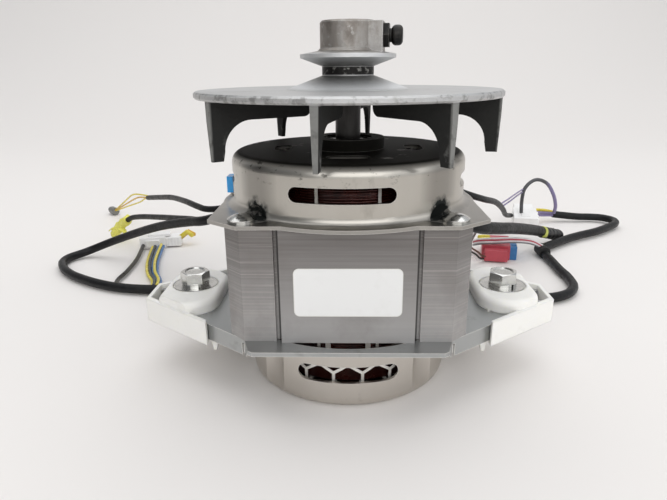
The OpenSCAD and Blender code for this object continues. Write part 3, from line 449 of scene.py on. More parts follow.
slot_wire_rows = 10
slot_wire_first = 31.9
slot_wire_row = 1.16
slot_wire_column = 1.05
slot_wire_radius = 0.52
slot_wire_sides = 6
slot_wire_past = 1
slot_wire_verts = []
slot_wire_faces = []
for slot_number in range(slot_count):
    turn = Matrix.Rotation(2 * math.pi * slot_number / slot_count, 4, "Z")
    for row in range(slot_wire_rows):
        for column in (-1, 0, 1):
            middle = Vector((slot_wire_first + slot_wire_row * row, slot_wire_column * column, 0))
            slot_wire_faces += tube_faces(2, slot_wire_sides, len(slot_wire_verts))
            for z in (lower_face - slot_wire_past, upper_face + slot_wire_past):
                for k in range(slot_wire_sides):
                    rim = polar(slot_wire_radius, 2 * math.pi * k / slot_wire_sides, z)
                    slot_wire_verts.append(turn @ (middle + rim) / 1000)
slot_wires = mesh_piece("slot_wires", slot_wire_verts, slot_wire_faces, copper_enamel)
settle(slot_wires, "slot_coils")

# Lacing: flat white polyester tape that ties each end winding into a firm ring.
# It zigzags round the outside, is drawn over the crown in a stem at each far point, and runs
# straight down to the stack from every other near point.
lacing_tape, tree = new_finish("lacing_tape", 0.6)
lacing_weave = blotches(tree, 900, 0.35, 0.7)
lacing_grime = blotches(tree, 120, 0.5, 0.75)
layered(tree, (0.84, 0.81, 0.76), [(lacing_grime, 1, (0.55, 0.50, 0.43))])
raised(tree, lacing_weave, 0.0001, 0.6)
lacing_count = 21
lacing_width = 1.35
lacing_thick = 0.35
lacing_radius = winding_outer + winding_wire + 0.6
lacing_apex = 15.9
lacing_knot = 20.2
lacing_turn = math.radians(-90)
lacing_pitch = 2 * math.pi / lacing_count
lacing_steps = 4
tied_points = range(-9, 10, 2)
tie_heights = (1.5, 6, 11, lacing_apex)
stem_ways = [(1, 0), (1, 0.4), (0.6, 1), (0, 1), (0, 1), (-1, 0.6), (-1, 0)]


def tape_strip(verts, faces, line, out):
    """Adds one flat strip along a line; out gives its outward direction at each point."""
    start = len(verts)
    for i, point in enumerate(line):
        ahead = (line[min(i + 1, len(line) - 1)] - line[max(i - 1, 0)]).normalized()
        outward = out[i].normalized()
        across = ahead.cross(outward).normalized()
        for side in (-0.5, 0.5):
            for lift in (0, lacing_thick):
                verts.append((point + across * side * lacing_width + outward * lift) / 1000)
    for i in range(len(line) - 1):
        a = start + 4 * i
        for p, q in ((0, 1), (1, 3), (3, 2), (2, 0)):
            faces.append((a + p, a + q, a + 4 + q, a + 4 + p))
    end = start + 4 * (len(line) - 1)
    faces.append((start, start + 2, start + 3, start + 1))
    faces.append((end, end + 1, end + 3, end + 2))


for where, face, up, crown in ends_of_stack:
    verts = []
    faces = []
    stem = [
        (lacing_radius, lacing_knot), (lacing_radius - 0.3, crown - 1.1), (winding_neck, crown + 0.2),
        (winding_neck - 3, crown + 0.4), (winding_inner + 3, crown + 0.4),
        (winding_inner - 0.3, crown - 1.1), (winding_inner - 0.4, 12),
    ]
    for number in range(lacing_count):
        knot = lacing_turn + lacing_pitch * (number + 0.5)
        for side in (-1, 1):
            line = []
            for step in range(lacing_steps + 1):
                share = step / lacing_steps
                height = lacing_knot + (lacing_apex - lacing_knot) * share
                angle = knot + side * lacing_pitch / 2 * share
                line.append(polar(lacing_radius, angle, face + up * height))
            tape_strip(verts, faces, line, [Vector((p.x, p.y, 0)) for p in line])
        line = [polar(r, knot, face + up * z) for r, z in stem]
        tape_strip(verts, faces, line, [polar(r, knot, up * z) for r, z in stem_ways])
    for number in tied_points:
        tie = lacing_turn + lacing_pitch * number
        line = [polar(lacing_radius, tie, face + up * z) for z in tie_heights]
        tape_strip(verts, faces, line, [polar(1, tie, 0)] * len(line))
    lacing = mesh_piece(f"{where}_lacing", verts, faces, lacing_tape, smooth=False)
    settle(lacing)

# End bells: cups pressed from zinc-plated steel sheet, satin with drawing marks and bright edges.
# The upper one is black on top, under the fan, with grease and painted shade, and smeared beside its
# bolts.
edge_group, ends, mask_out = make_group("edge_mask", Width=0.001, Strength=4.0)
edge_bevel = edge_group.nodes.new("ShaderNodeBevel")
edge_bevel.samples = 6
edge_true = edge_group.nodes.new("ShaderNodeNewGeometry")
edge_group.links.new(ends["Width"], edge_bevel.inputs["Radius"])
edge_normals = (edge_bevel.outputs["Normal"], edge_true.outputs["Normal"])
edge_dot = worked_out(edge_group, vector_maths, "DOT_PRODUCT", *edge_normals)
edge_turn = worked_out(edge_group, plain_maths, "SUBTRACT", 1.0, edge_dot)
edge_gain = worked_out(edge_group, plain_maths, "MULTIPLY", edge_turn, ends["Strength"])
edge_gain.node.use_clamp = True
edge_group.links.new(edge_gain, mask_out)


def edge_mask(tree, width, strength):
    return use_group(tree, edge_group, Width=width, Strength=strength)


def near_spot(tree, spot, far, close):
    """Mask that grows towards a point and its mirror images about the motor's axis."""
    place = tree.nodes.new("ShaderNodeTexCoord")
    mirror = worked_out(tree, vector_maths, "ABSOLUTE", place.outputs["Object"])
    return stepped(tree, worked_out(tree, vector_maths, "DISTANCE", mirror, spot), far, close)


bell_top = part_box("upper_end_bell")[1].z - 0.0053
bell_foot = core_high.z
bell_radius = 0.0556
bolt_spot = (0.0405, 0.0405, bell_foot + 0.003)
cornerwise = (0.7071, 0.7071, 0)
bell_zinc, tree = new_finish("bell_zinc", 0.3, 1.0)
bell_streak = blotches(tree, 30, 0.3, 0.75, (1, 1, 0.12))
bell_smear = blotches(tree, 55, 0.60, 0.80, (1, 1, 0.5))
# The black top under the fan is grease and also painted shade from the fan above it.
crown_grease_and_shade = both(along(tree, bell_top - 0.0024, bell_top - 0.0004), blotches(tree, 70, 0.17, 0.38))
bell_specks = both(
    along(tree, bell_top - 0.013, bell_top - 0.002), blotches(tree, 260, 0.60, 0.68, (1, 1, 1.6))
)
bolt_smear = both(near_spot(tree, bolt_spot, 0.0105, 0.003), blotches(tree, 170, 0.25, 0.6))
bell_dents = stepped(tree, bolt_smear, 0.12, 0.42)
# Painted reflection: dark vertical bands at the four corners of the wall, above the flange.
corner_reflection_bands = both(
    along(tree, 0.972 * bell_radius, 0.997 * bell_radius, cornerwise),
    along(tree, bell_foot + 0.005, bell_foot + 0.010),
)
# Painted shade: the flange is painted a darker grey, to hold down its bright reflection of the floor.
flange_shade = both(along(tree, bell_foot + 0.0035, bell_foot + 0.0018), blotches(tree, 60, 0.2, 0.5))
bell_edges = both(edge_mask(tree, 0.0005, 4.0), blotches(tree, 120, 0.3, 0.5))
bell_grease_and_shade = worked_out(tree, plain_maths, "MAXIMUM", bell_dents, crown_grease_and_shade)
layered(tree, (0.505, 0.483, 0.44), [
    (bell_streak, 0.55, (0.42, 0.39, 0.345)),
    (bell_smear, 0.7, (0.14, 0.125, 0.10)),
    (corner_reflection_bands, 0.6, (0.17, 0.16, 0.145)),
    (flange_shade, 0.65, (0.27, 0.262, 0.25)),
    (bell_edges, 0.7, (0.80, 0.79, 0.76)),
    (bell_specks, 0.85, (0.05, 0.047, 0.04)),
    (bell_dents, 1, (0.016, 0.018, 0.017)),
    (crown_grease_and_shade, 1, (0.012, 0.011, 0.009)),
    # Painted highlight: a lighter ring on the edges of the black top and its boss.
    (both(bell_edges, crown_grease_and_shade), 0.5, (0.42, 0.41, 0.38)),
])
between(tree, bell_grease_and_shade, 0.31, 0.6)
shader_input(tree, "Specular IOR Level").default_value = 0.05
between(tree, bell_grease_and_shade, 1.0, 0.0, "Metallic")
raised(tree, blotches(tree, 1500, 0.3, 0.7), 0.00002, 0.4)
dress(bell_zinc, "upper_end_bell", "earth_tab")

lower_zinc, tree = new_finish("lower_zinc", 0.35, 1.0)
lower_streak = blotches(tree, 26, 0.3, 0.75, (1, 1, 0.15))
lower_smear = blotches(tree, 70, 0.66, 0.84)
# Painted shade: the top of the lower bell and its vent bars, under the bracket, are painted dark.
lower_rim_shade = along(tree, core_low.z - 0.0062, core_low.z - 0.0054)
layered(tree, (0.62, 0.585, 0.54), [
    (lower_streak, 0.45, (0.50, 0.46, 0.41)),
    (lower_smear, 0.5, (0.22, 0.19, 0.16)),
    (edge_mask(tree, 0.0005, 4.0), 1, (0.85, 0.84, 0.81)),
    (lower_rim_shade, 0.8, (0.10, 0.098, 0.095)),
])
between(tree, lower_streak, 0.30, 0.42)
raised(tree, blotches(tree, 1500, 0.3, 0.7), 0.00002, 0.4)
dress(lower_zinc, "lower_end_bell")

# Mounting bracket: pressed from thicker sheet with a bluish zinc plate.
# Its sheared edges are bright, and its wings carry the pads.
bracket_zinc, tree = new_finish("bracket_zinc", 0.4, 1.0)
bracket_tone = blotches(tree, 45, 0.35, 0.7)
bracket_dirt = blotches(tree, 90, 0.6, 0.8)
layered(tree, (0.40, 0.41, 0.41), [
    (bracket_tone, 0.5, (0.50, 0.51, 0.50)),
    (bracket_dirt, 0.6, (0.14, 0.13, 0.12)),
    (edge_mask(tree, 0.0006, 5.0), 1, (0.82, 0.81, 0.78)),
])
between(tree, bracket_tone, 0.34, 0.5)
dress(bracket_zinc, "mounting_bracket")

# Tie bolts, nuts, mounting bolts and washers: steel with a bright zinc plate.
# The handled corners are polished and the recesses are dull.
bright_zinc, tree = new_finish("bright_zinc", 0.25, 1.0)
zinc_cloud = blotches(tree, 160, 0.4, 0.7)
layered(tree, (0.66, 0.66, 0.64), [
    (zinc_cloud, 0.6, (0.46, 0.45, 0.43)),
    (edge_mask(tree, 0.0004, 4.0), 1, (0.85, 0.85, 0.83)),
])
between(tree, zinc_cloud, 0.16, 0.34)
dress(bright_zinc, "tie_bolts", "tie_nuts", "mounting_bolts", "flat_washers", "spring_washers")

# Label: a bare white film stuck to the front panel, slightly scuffed.
# It is glossy where it has been rubbed and a little yellow at its edges.
label_film, tree = new_finish("label_film", 0.4)
label_scuff = blotches(tree, 140, 0.55, 0.8)
layered(tree, (0.82, 0.82, 0.81), [
    (label_scuff, 0.4, (0.72, 0.71, 0.69)),
    (edge_mask(tree, 0.0008, 3.0), 1, (0.66, 0.64, 0.58)),
])
between(tree, label_scuff, 0.32, 0.5)
dress(label_film, "rating_label")

# Bearings: ground and polished ring steel with a film of grease.
# They are pressed in the seats of the two bells and mostly hidden there.
bearing_steel = clouded(
    "bearing_steel", (0.58, 0.58, 0.58), (0.36, 0.34, 0.30), (240, 0.4, 0.7), (0.14, 0.3),
    strength=0.5, metallic=1.0,
)[0]
dress(
    bearing_steel, "upper_outer_race", "upper_inner_race", "upper_balls", "lower_outer_race",
    "lower_inner_race", "lower_balls", "preload_washer",
)

# Shaft: ground steel rod, black with oil between the bell and the fan.
# Only a few strips of it are wiped bright.
shaft_steel = clouded(
    "shaft_steel", (0.055, 0.053, 0.05), (0.02, 0.018, 0.017), (80, 0.30, 0.55, (1, 1, 0.3)),
    (0.22, 0.36), strength=0.92, metallic=0.7,
)[0]
dress(shaft_steel, "shaft")

# Rotor cage: aluminium cast through the rotor's holes, with an end ring on each face.
# The cast skin is dull and faintly pitted.
cage_aluminium, tree = new_finish("cage_aluminium", 0.5, 1.0)
cage_tone = blotches(tree, 150, 0.35, 0.7)
layered(tree, (0.52, 0.52, 0.52), [(cage_tone, 1, (0.38, 0.38, 0.37))])
raised(tree, blotches(tree, 500, 0.3, 0.7), 0.0002, 0.5)
dress(cage_aluminium, "rotor_cage")


# Fan pulley: one aluminium casting with the hub, belt groove, disc and blades.
# The disc is scuffed bright, the hub is stained and the groove is black with belt dust; the blades and
# the disc's underside are black with dirt and painted shade, and the cone carries a painted highlight
# ring with painted shade below the groove.
def by_radius(tree, low, high):
    """Mask that rises from 0 to 1 with the distance from the motor's axis."""
    place = tree.nodes.new("ShaderNodeTexCoord")
    flat = worked_out(tree, vector_maths, "MULTIPLY", place.outputs["Object"], (1, 1, 0))
    return stepped(tree, worked_out(tree, vector_maths, "LENGTH", flat), low, high)


fan_low, fan_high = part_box("fan_pulley")
hub_top = fan_high.z
hub_foot = hub_top - 0.0142
groove_high = hub_top - 0.0195
groove_low = hub_top - 0.0235
disc_under = hub_top - 0.0328
fan_radius = fan_high.x
pulley_cast, tree = new_finish("pulley_cast", 0.42, 1.0)
cast_cloud = blotches(tree, 40, 0.35, 0.7)
cast_pit = blotches(tree, 160, 0.60, 0.75)
hub_stain = both(
    along(tree, hub_foot - 0.0003, hub_foot + 0.0003), blotches(tree, 70, 0.22, 0.55, (1, 1, 0.4))
)
hub_blot = both(hub_stain, blotches(tree, 130, 0.46, 0.62, (1, 1, 0.6)))
hub_fleck = both(hub_stain, blotches(tree, 380, 0.58, 0.68))
rim_shade = band(
    tree, (groove_high - 0.0002, groove_high + 0.0003), (hub_foot + 0.0001, hub_foot - 0.0005)
)
groove_band = band(tree, (groove_low, groove_low + 0.0006), (groove_high + 0.0003, groove_high - 0.0002))
groove_dust = both(groove_band, blotches(tree, 420, 0.44, 0.34))
# Painted shade: a darker ring on the flank just below the groove.
groove_foot_shade = band(
    tree, (groove_low - 0.0022, groove_low - 0.0004), (groove_low + 0.0002, groove_low - 0.0002)
)
# Painted highlight: a bright ring on the cone's lower flank, above the disc.
cone_highlight = both(
    both(by_radius(tree, 0.016, 0.024), by_radius(tree, 0.036, 0.029)),
    along(tree, disc_under + 0.0032, disc_under + 0.0042),
)
# The disc's underside and the blades are painted black, for dirt and for painted shade under the disc.
under_disc_dirt_and_shade = along(tree, disc_under + 0.0002, disc_under - 0.0006)
blade_bare = both(
    by_radius(tree, fan_radius - 0.0022, fan_radius - 0.0012), blotches(tree, 140, 0.30, 0.5)
)
blade_worn = both(
    both(under_disc_dirt_and_shade, blotches(tree, 130, 0.56, 0.68)), along(tree, fan_low.z + 0.014, fan_low.z + 0.002)
)
disc_chips = both(
    by_radius(tree, fan_radius - 0.0016, fan_radius - 0.0004), blotches(tree, 240, 0.52, 0.62)
)
layered(tree, (0.57, 0.57, 0.57), [
    (cast_cloud, 0.6, (0.45, 0.45, 0.44)),
    (cast_pit, 0.4, (0.24, 0.23, 0.21)),
    (rim_shade, 0.35, (0.40, 0.40, 0.39)),
    (hub_stain, 0.85, (0.28, 0.252, 0.222)),
    (hub_blot, 0.7, (0.15, 0.128, 0.112)),
    (hub_fleck, 0.6, (0.55, 0.54, 0.52)),
    (cone_highlight, 0.8, (0.80, 0.81, 0.82)),
    (groove_foot_shade, 0.5, (0.20, 0.20, 0.19)),
    (groove_band, 0.97, (0.012, 0.011, 0.010)),
    (groove_dust, 0.7, (0.45, 0.44, 0.41)),
    (edge_mask(tree, 0.0008, 3.0), 0.8, (0.74, 0.74, 0.72)),
    (under_disc_dirt_and_shade, 0.97, (0.012, 0.012, 0.011)),
    (both(under_disc_dirt_and_shade, blade_bare), 1, (0.23, 0.23, 0.22)),
    (blade_worn, 0.7, (0.22, 0.22, 0.21)),
    (disc_chips, 0.55, (0.14, 0.135, 0.125)),
])
between(tree, under_disc_dirt_and_shade, 0.48, 0.85)
between(tree, under_disc_dirt_and_shade, 1.0, 0.1, "Metallic")
shader_input(tree, "Specular IOR Level").default_value = 0.15
raised(tree, blotches(tree, 420, 0.3, 0.7), 0.0002, 0.5)
dress(pulley_cast, "fan_pulley")

# Set screw and lock nut: black-oxide steel, screwed in the side of the pulley's hub.
# The nut holds the screw, and its corners are worn to the metal.
black_oxide, tree = new_finish("black_oxide", 0.4, 0.8)
oxide_wear = edge_mask(tree, 0.0005, 2.5)
oxide_film = blotches(tree, 200, 0.45, 0.7)
layered(tree, (0.018, 0.018, 0.018), [
    (oxide_film, 1, (0.045, 0.042, 0.038)),
    (oxide_wear, 1, (0.16, 0.15, 0.14)),
])
dress(black_oxide, "set_screw", "lock_nut")

# Isolator pads: moulded white nylon, slid on to the bracket's wings from their tips.
# They are smooth with soft edges, and hold some dirt in the corners.
pad_nylon, tree = new_finish("pad_nylon", 0.42)
pad_dirt = blotches(tree, 55, 0.58, 0.80)
pad_tone = blotches(tree, 25, 0.35, 0.7)
pad_rounding = tree.nodes.new("ShaderNodeBevel")
pad_rounding.samples = 6
pad_rounding.inputs["Radius"].default_value = 0.0012
tree.links.new(pad_rounding.outputs["Normal"], shader_input(tree, "Normal"))
layered(tree, (0.91, 0.90, 0.865), [
    (pad_tone, 0.5, (0.86, 0.845, 0.80)),
    (pad_dirt, 0.35, (0.50, 0.47, 0.41)),
])
between(tree, pad_tone, 0.36, 0.5)
shader_input(tree, "Subsurface Weight").default_value = 0.15
shader_input(tree, "Subsurface Radius").default_value = (0.003, 0.003, 0.002)
dress(pad_nylon, "isolator_left", "isolator_right")


# Earth terminal: a spade clip in a blue insulating sleeve, pushed on a tab of the bell's flange.
# The vinyl is glossy and a little darker where it has been handled.
def wire_colour(name, colour):
    darker = tuple(0.7 * part for part in colour)
    return clouded(name, colour, darker, (220, 0.4, 0.8), (0.26, 0.42))[0]


terminal_vinyl = wire_colour("terminal_vinyl", (0.04, 0.42, 0.95))
dress(terminal_vinyl, "earth_terminal")


# Plug housings of the harness: moulded nylon boxes, two halves that clip into each other.
# The leads end in them, and they lie loose on the floor.
def moulded(name, colour, shade, grain):
    made, tree = new_finish(name, 0.4)
    grime = blotches(tree, 90, 0.5, 0.8)
    # The edges are painted darker.
    edge_shade = tuple(0.55 * part for part in shade)
    layered(tree, colour, [(grime, 1, shade), (edge_mask(tree, 0.0006, 3.0), 0.45, edge_shade)])
    between(tree, grime, 0.34, 0.55)
    raised(tree, blotches(tree, grain, 0.3, 0.7), 0.0001, 0.4)
    return made


housing_bevel = 0.5


def box_stack(name, boxes, place, turn, material, tilt=0):
    """One piece made of several bevelled boxes, each given by two corners in millimetres."""
    shape = bmesh.new()
    for low, high in boxes:
        size = Vector(high) - Vector(low)
        middle = (Vector(high) + Vector(low)) / 2
        made = bmesh.ops.create_cube(shape, size=1.0)
        bmesh.ops.scale(shape, vec=size / 1000, verts=made["verts"])
        bmesh.ops.translate(shape, vec=middle / 1000, verts=made["verts"])
    mesh = bpy.data.meshes.new(name)
    shape.to_mesh(mesh)
    shape.free()
    piece = link_piece(name, mesh, material)
    piece.location = Vector(place) / 1000
    piece.rotation_euler = (math.radians(tilt), 0, math.radians(turn))
    rounding = piece.modifiers.new("rounding", "BEVEL")
    rounding.width = housing_bevel / 1000
    rounding.segments = 2
    return piece


white_nylon = moulded("white_nylon", (0.92, 0.91, 0.90), (0.82, 0.81, 0.78), 600)
red_nylon = moulded("red_nylon", (0.51, 0.07, 0.095), (0.38, 0.045, 0.065), 600)
blue_nylon = moulded("blue_nylon", (0.04, 0.20, 0.46), (0.03, 0.13, 0.32), 600)
left_boxes = [((-17, -8, 0), (5, 8, 10)), ((5, -7, 1), (18, 7, 9)), ((-12, -10, 2), (0, -7, 8))]
for rib in range(4):
    left_boxes.append(((7 + 2.6 * rib, -7.4, 2), (8 + 2.6 * rib, 7.4, 8)))
left_boxes.append(((-10, -5, 9.6), (9, 5, 12)))
left_boxes.append(((-15, -8.6, 2), (-5, 8.6, 8)))
left_housing = box_stack("left_housing", left_boxes, (-166, 198, 0.3), 12, white_nylon)
right_boxes = [((-11, 0, 0), (11, 22, 12)), ((-9, 22, 1), (9, 34, 10)), ((-4, 4, 11.6), (4, 20, 12.4))]
for tooth in range(3):
    right_boxes.append(((10.4, 2 + 6.5 * tooth, 2), (12.6, 5.5 + 6.5 * tooth, 10)))
right_housing = box_stack("right_housing", right_boxes, (170, 249, 0.3), -10, white_nylon, 15)
red_boxes = [
    ((-11, -16, 0), (11, 14, 12)), ((-9, -24, 1), (9, -15, 10)), ((-4, -14, 11.5), (4, 6, 12.4)),
]
for rib in range(3):
    red_boxes.append(((-9.4, -23 + 2.6 * rib, 2), (9.4, -22 + 2.6 * rib, 9)))
for row in range(2):
    red_boxes.append(((-10, -8 + 10 * row, 11.7), (-5, -4 + 10 * row, 12.3)))
red_place = (123, 176, 0.3)
red_turn = -12
red_housing = box_stack("red_housing", red_boxes, red_place, red_turn, red_nylon)
blue_boxes = [((10, -14, 0), (16.5, 13, 11)), ((12, -10, 10.8), (16, 8, 11.6))]
blue_housing = box_stack("blue_housing", blue_boxes, red_place, red_turn, blue_nylon)
settle(left_housing, "left_connector")
settle(right_housing, "right_connector")
settle(red_housing, "red_connector")
settle(blue_housing, "red_connector")

# Closed-end splice cap: a grey crimp cap on the bare ends of a branch.
# It is moulded in one piece and squeezed on to the wires.
cap_plastic = moulded("cap_plastic", (0.22, 0.22, 0.21), (0.14, 0.14, 0.13), 500)
dress(cap_plastic, "splice_cap")

# Splice sleeve of the right branch and the grommets: matte black rubber, a little dusty.
# Each grommet plugs a round hole in the upper bell's back.
black_rubber, tree = new_finish("black_rubber", 0.7)
rubber_dust = blotches(tree, 130, 0.45, 0.75)
layered(tree, (0.009, 0.009, 0.009), [(rubber_dust, 1, (0.025, 0.024, 0.023))])
raised(tree, blotches(tree, 700, 0.3, 0.7), 0.0001, 0.5)
dress(black_rubber, "right_splice", "lead_grommets")

# Tape on two branch ends: vinyl wound in a spiral over the sleeve, each turn over the last.
# The left one is lemon yellow, crumpled and has loose ends; the right one is black with a yellow band.
yellow_vinyl, tree = clouded(
    "yellow_vinyl", (0.86, 0.82, 0.15), (0.74, 0.68, 0.12), (150, 0.45, 0.7), (0.24, 0.45)
)
raised(tree, blotches(tree, 260, 0.35, 0.7), 0.0006, 0.8)
banded_vinyl, tree = new_finish("banded_vinyl", 0.4)
band_start = 0.1642
band_end = 0.1690
band_soft = 0.0006
tape_band = band(tree, (band_start, band_start + band_soft), (band_end + band_soft, band_end), sideways)
layered(tree, (0.010, 0.010, 0.010), [
    (blotches(tree, 140, 0.45, 0.75), 1, (0.026, 0.025, 0.023)),
    (both(tape_band, blotches(tree, 150, 0.25, 0.45)), 1, (0.56, 0.58, 0.12)),
])
raised(tree, blotches(tree, 300, 0.3, 0.7), 0.0003, 0.6)


def smooth_route(route, count):
    """Even points on a smooth line through the route's points, in metres."""
    ends = [route[0]] + route + [route[-1]]
    steps = 24
    fine = []
    for i in range(len(route) - 1):
        a, b, c, d = (Vector(p) for p in ends[i:i + 4])
        for step in range(steps):
            t = step / steps
            fine.append(0.5 * (
                2 * b + (c - a) * t + (2 * a - 5 * b + 4 * c - d) * t * t
                + (3 * b - a - 3 * c + d) * t * t * t
            ))
    fine.append(Vector(route[-1]))
    along_it = [0.0]
    for i in range(1, len(fine)):
        along_it.append(along_it[-1] + (fine[i] - fine[i - 1]).length)
    points = []
    j = 0
    for k in range(count):
        want = along_it[-1] * k / (count - 1)
        while j < len(fine) - 2 and along_it[j + 1] < want:
            j += 1
        share = (want - along_it[j]) / max(along_it[j + 1] - along_it[j], 1e-9)
        points.append(fine[j].lerp(fine[j + 1], min(max(share, 0), 1)) / 1000)
    return points


def path_length(points):
    return sum((points[i] - points[i - 1]).length for i in range(1, len(points)))


def wrapped_tape(name, route, diameter_mm, pitch_mm, lap_mm, crumple_mm, material):
    """A tube along the route whose skin steps up by the tape's lap once a turn."""
    rings = 40
    sides = 20
    crease = 420
    crease_reach = 0.004
    points = smooth_route(route, rings)
    total = path_length(points)
    verts = []
    for i, point in enumerate(points):
        ahead = points[min(i + 1, rings - 1)] - points[max(i - 1, 0)]
        ahead.normalize()
        side = ahead.cross(Vector((0, 0, 1))).normalized()
        over = side.cross(ahead)
        for k in range(sides):
            turn = k / sides
            lap = (total * 1000 * i / (rings - 1) / pitch_mm + turn) % 1.0
            angle = 2 * math.pi * turn
            way = math.cos(angle) * side + math.sin(angle) * over
            fold = noise.noise((point + crease_reach * way) * crease)
            radius = (diameter_mm / 2 - lap_mm * lap + crumple_mm * fold) / 1000
            verts.append(point + radius * way)
    return mesh_piece(name, verts, tube_faces(rings, sides), material)


def tape_flag(name, root, tip, width_mm, material):
    """A loose pointed end of the tape, folded down its middle, as a thin closed sheet."""
    steps = 8
    thick = 0.3
    taper = 0.75
    curl_height = 1.6
    start = Vector(root)
    run = Vector(tip) - start
    across = run.cross(Vector((0, 0, 1))).normalized()
    over = across.cross(run).normalized()
    verts = []
    for i in range(steps + 1):
        t = i / steps
        half = width_mm / 2 * (1 - taper * t)
        curl = curl_height * math.sin(math.pi * t)
        middle = start + run * t + over * curl
        for side, drop in ((-1, 0.5), (0, 0), (1, 0.7)):
            edge = middle + across * side * half - over * drop * half
            verts.append((edge + over * thick / 2) / 1000)
            verts.append((edge - over * thick / 2) / 1000)
    faces = []
    for i in range(steps):
        a = 6 * i
        for p, q in ((0, 2), (2, 4), (4, 5), (5, 3), (3, 1), (1, 0)):
            faces.append((a + p, a + q, a + 6 + q, a + 6 + p))
    end = 6 * steps
    faces.append((0, 1, 3, 5, 4, 2))
    faces.append((end, end + 2, end + 4, end + 5, end + 3, end + 1))
    return mesh_piece(name, verts, faces, material)


branch_wrap = wrapped_tape(
    "branch_wrap", [(-194, 200, 24), (-206, 210, 15), (-216, 219, 4.5)], 8.4, 7, 0.5, 1.3, yellow_vinyl
)
trunk_wrap = wrapped_tape(
    "trunk_wrap", [(164, 187, 16), (178, 202, 10), (187, 210, 6.2)], 10.4, 8, 0.5, 0.4, banded_vinyl
)
settle(branch_wrap, "branch_tape")
settle(trunk_wrap, "trunk_tape")
flags = [
    tape_flag("branch_flag_1", (-203, 205, 16), (-197, 201, 8), 7, yellow_vinyl),
    tape_flag("branch_flag_2", (-208, 211, 14), (-218, 212, 10), 5, yellow_vinyl),
]
for flag in flags:
    settle(flag)

# Harness sleeves: soft black vinyl tubes with wires inside, slightly dusty.
# They leave two grommets at the back of the upper bell and lie loose on the floor.
sleeve_vinyl, tree = clouded(
    "sleeve_vinyl", (0.006, 0.006, 0.007), (0.016, 0.016, 0.015), (160, 0.45, 0.75), (0.38, 0.6)
)
shader_input(tree, "Specular IOR Level").default_value = 0.25
raised(tree, blotches(tree, 420, 0.3, 0.7), 0.0002, 0.6)


def lay_lead(name, route, diameter_mm, count, material, node):
    """One lead that follows its route smoothly."""
    points = smooth_route(route, count)
    diameter = diameter_mm / 1000
    piece, spline = round_curve(name, "BEZIER", diameter, 4, material)
    piece.data.resolution_u = 5
    spline.bezier_points.add(count - 1)
    for knot, point in zip(spline.bezier_points, points):
        knot.co = point
        knot.handle_left_type = "AUTO"
        knot.handle_right_type = "AUTO"
    settle(piece, node)


main_route = [
    (-24, 61, 96), (-25, 73, 95), (-35, 84, 84), (-55, 87, 68), (-75, 85, 60), (-93, 86, 54),
    (-116, 105, 47), (-141, 127, 38), (-167, 147, 27), (-192, 162, 16), (-211, 167, 8), (-223, 162, 4),
    (-228, 150, 4), (-224, 136, 4), (-211, 119, 4), (-193, 105, 4), (-173, 94, 4), (-150, 87, 4),
    (-115, 85, 4), (-60, 83, 4), (0, 80, 4), (80, 74, 4), (128, 72, 4), (148, 80, 4), (158, 98, 4),
    (159, 125, 4), (160, 148, 4), (160, 166, 4),
]
branch_route = [
    (-28, 61, 102), (-29, 74, 101), (-39, 89, 88), (-58, 95, 69), (-79, 95, 58), (-97, 98, 51),
    (-118, 119, 46), (-151, 158, 37), (-178, 186, 30), (-192, 198, 25), (-203, 207, 16),
]
splice_route = [
    (-20, 61, 102), (-20, 76, 102), (-30, 94, 90), (-56, 102, 71), (-78, 103, 60), (-96, 107, 56),
    (-108, 119, 55), (-123, 140, 54), (-145, 176, 49), (-167, 208, 42), (-188, 238, 35),
]
trunk_route = [
    (25, 61, 96), (26, 74, 95), (35, 88, 84), (52, 93, 68), (70, 92, 55), (88, 97, 46), (107, 117, 39),
    (128, 145, 31), (155, 178, 20), (176, 200, 11),
]
plug_route = [
    (22, 61, 104), (22, 75, 104), (33, 92, 93), (54, 100, 78), (78, 105, 68), (96, 120, 60),
    (114, 152, 50), (132, 196, 34), (146, 234, 19), (159, 262, 11),
]
return_route = [
    (206, 279.3, 7.8), (213, 279, 7), (230, 278, 5.5), (244, 278.5, 5), (255.3, 273.8, 5),
    (260, 262.5, 5), (255.3, 251.2, 5), (243, 239, 5), (226, 225, 5), (207, 213, 5), (188, 199, 5),
    (163, 177, 5),
]
for branch, route, diameter_mm, count, far_end, on_it in (
    ("main", main_route, 6.5, 40, "fitting", [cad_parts["right_splice"]]),
    ("branch", branch_route, 4.5, 26, "fitting", [branch_wrap, *flags]),
    ("splice", splice_route, 4.5, 26, "bare", []),
    ("trunk", trunk_route, 9, 24, "fitting", [trunk_wrap]),
    ("plug", plug_route, 4.6, 26, "connector", [right_housing]),
    ("return", return_route, 7, 30, "object", []),
):
    lay_lead(
        f"{branch}_sleeve", route, diameter_mm, count, sleeve_vinyl, f"{branch}_lead",
    )

# Single wires of the harness: thin PVC-covered copper, in the colours of their circuits.
# They join the housings, the sleeves and the splice cap.
pvc = {}
for name, colour in (
    ("blue", (0.05, 0.17, 0.42)), ("slate", (0.045, 0.06, 0.075)), ("yellow", (0.82, 0.68, 0.08)),
    ("amber", (0.74, 0.44, 0.05)), ("black", (0.02, 0.018, 0.016)), ("brown", (0.12, 0.05, 0.03)),
    ("purple", (0.24, 0.20, 0.36)), ("red", (0.52, 0.08, 0.11)), ("white", (0.80, 0.76, 0.76)),
    ("grey", (0.20, 0.20, 0.21)),
):
    pvc[name] = wire_colour(f"{name}_pvc", colour)
bundle_steps = 16


def lay_bundle(name, route, wires, diameter_mm, node):
    """Several wires side by side; each has its shift at the start, half way and at the end."""
    last = len(route) - 1
    for number, (start, half_way, end, colour) in enumerate(wires, 1):
        shifted = []
        for i, point in enumerate(route):
            t = 2 * i / last
            if t < 1:
                shift = Vector(start).lerp(Vector(half_way), t)
            else:
                shift = Vector(half_way).lerp(Vector(end), t - 1)
            shifted.append(tuple(Vector(point) + shift))
        lay_lead(
            f"{name}_{number}", shifted, diameter_mm, bundle_steps, pvc[colour], node,
        )


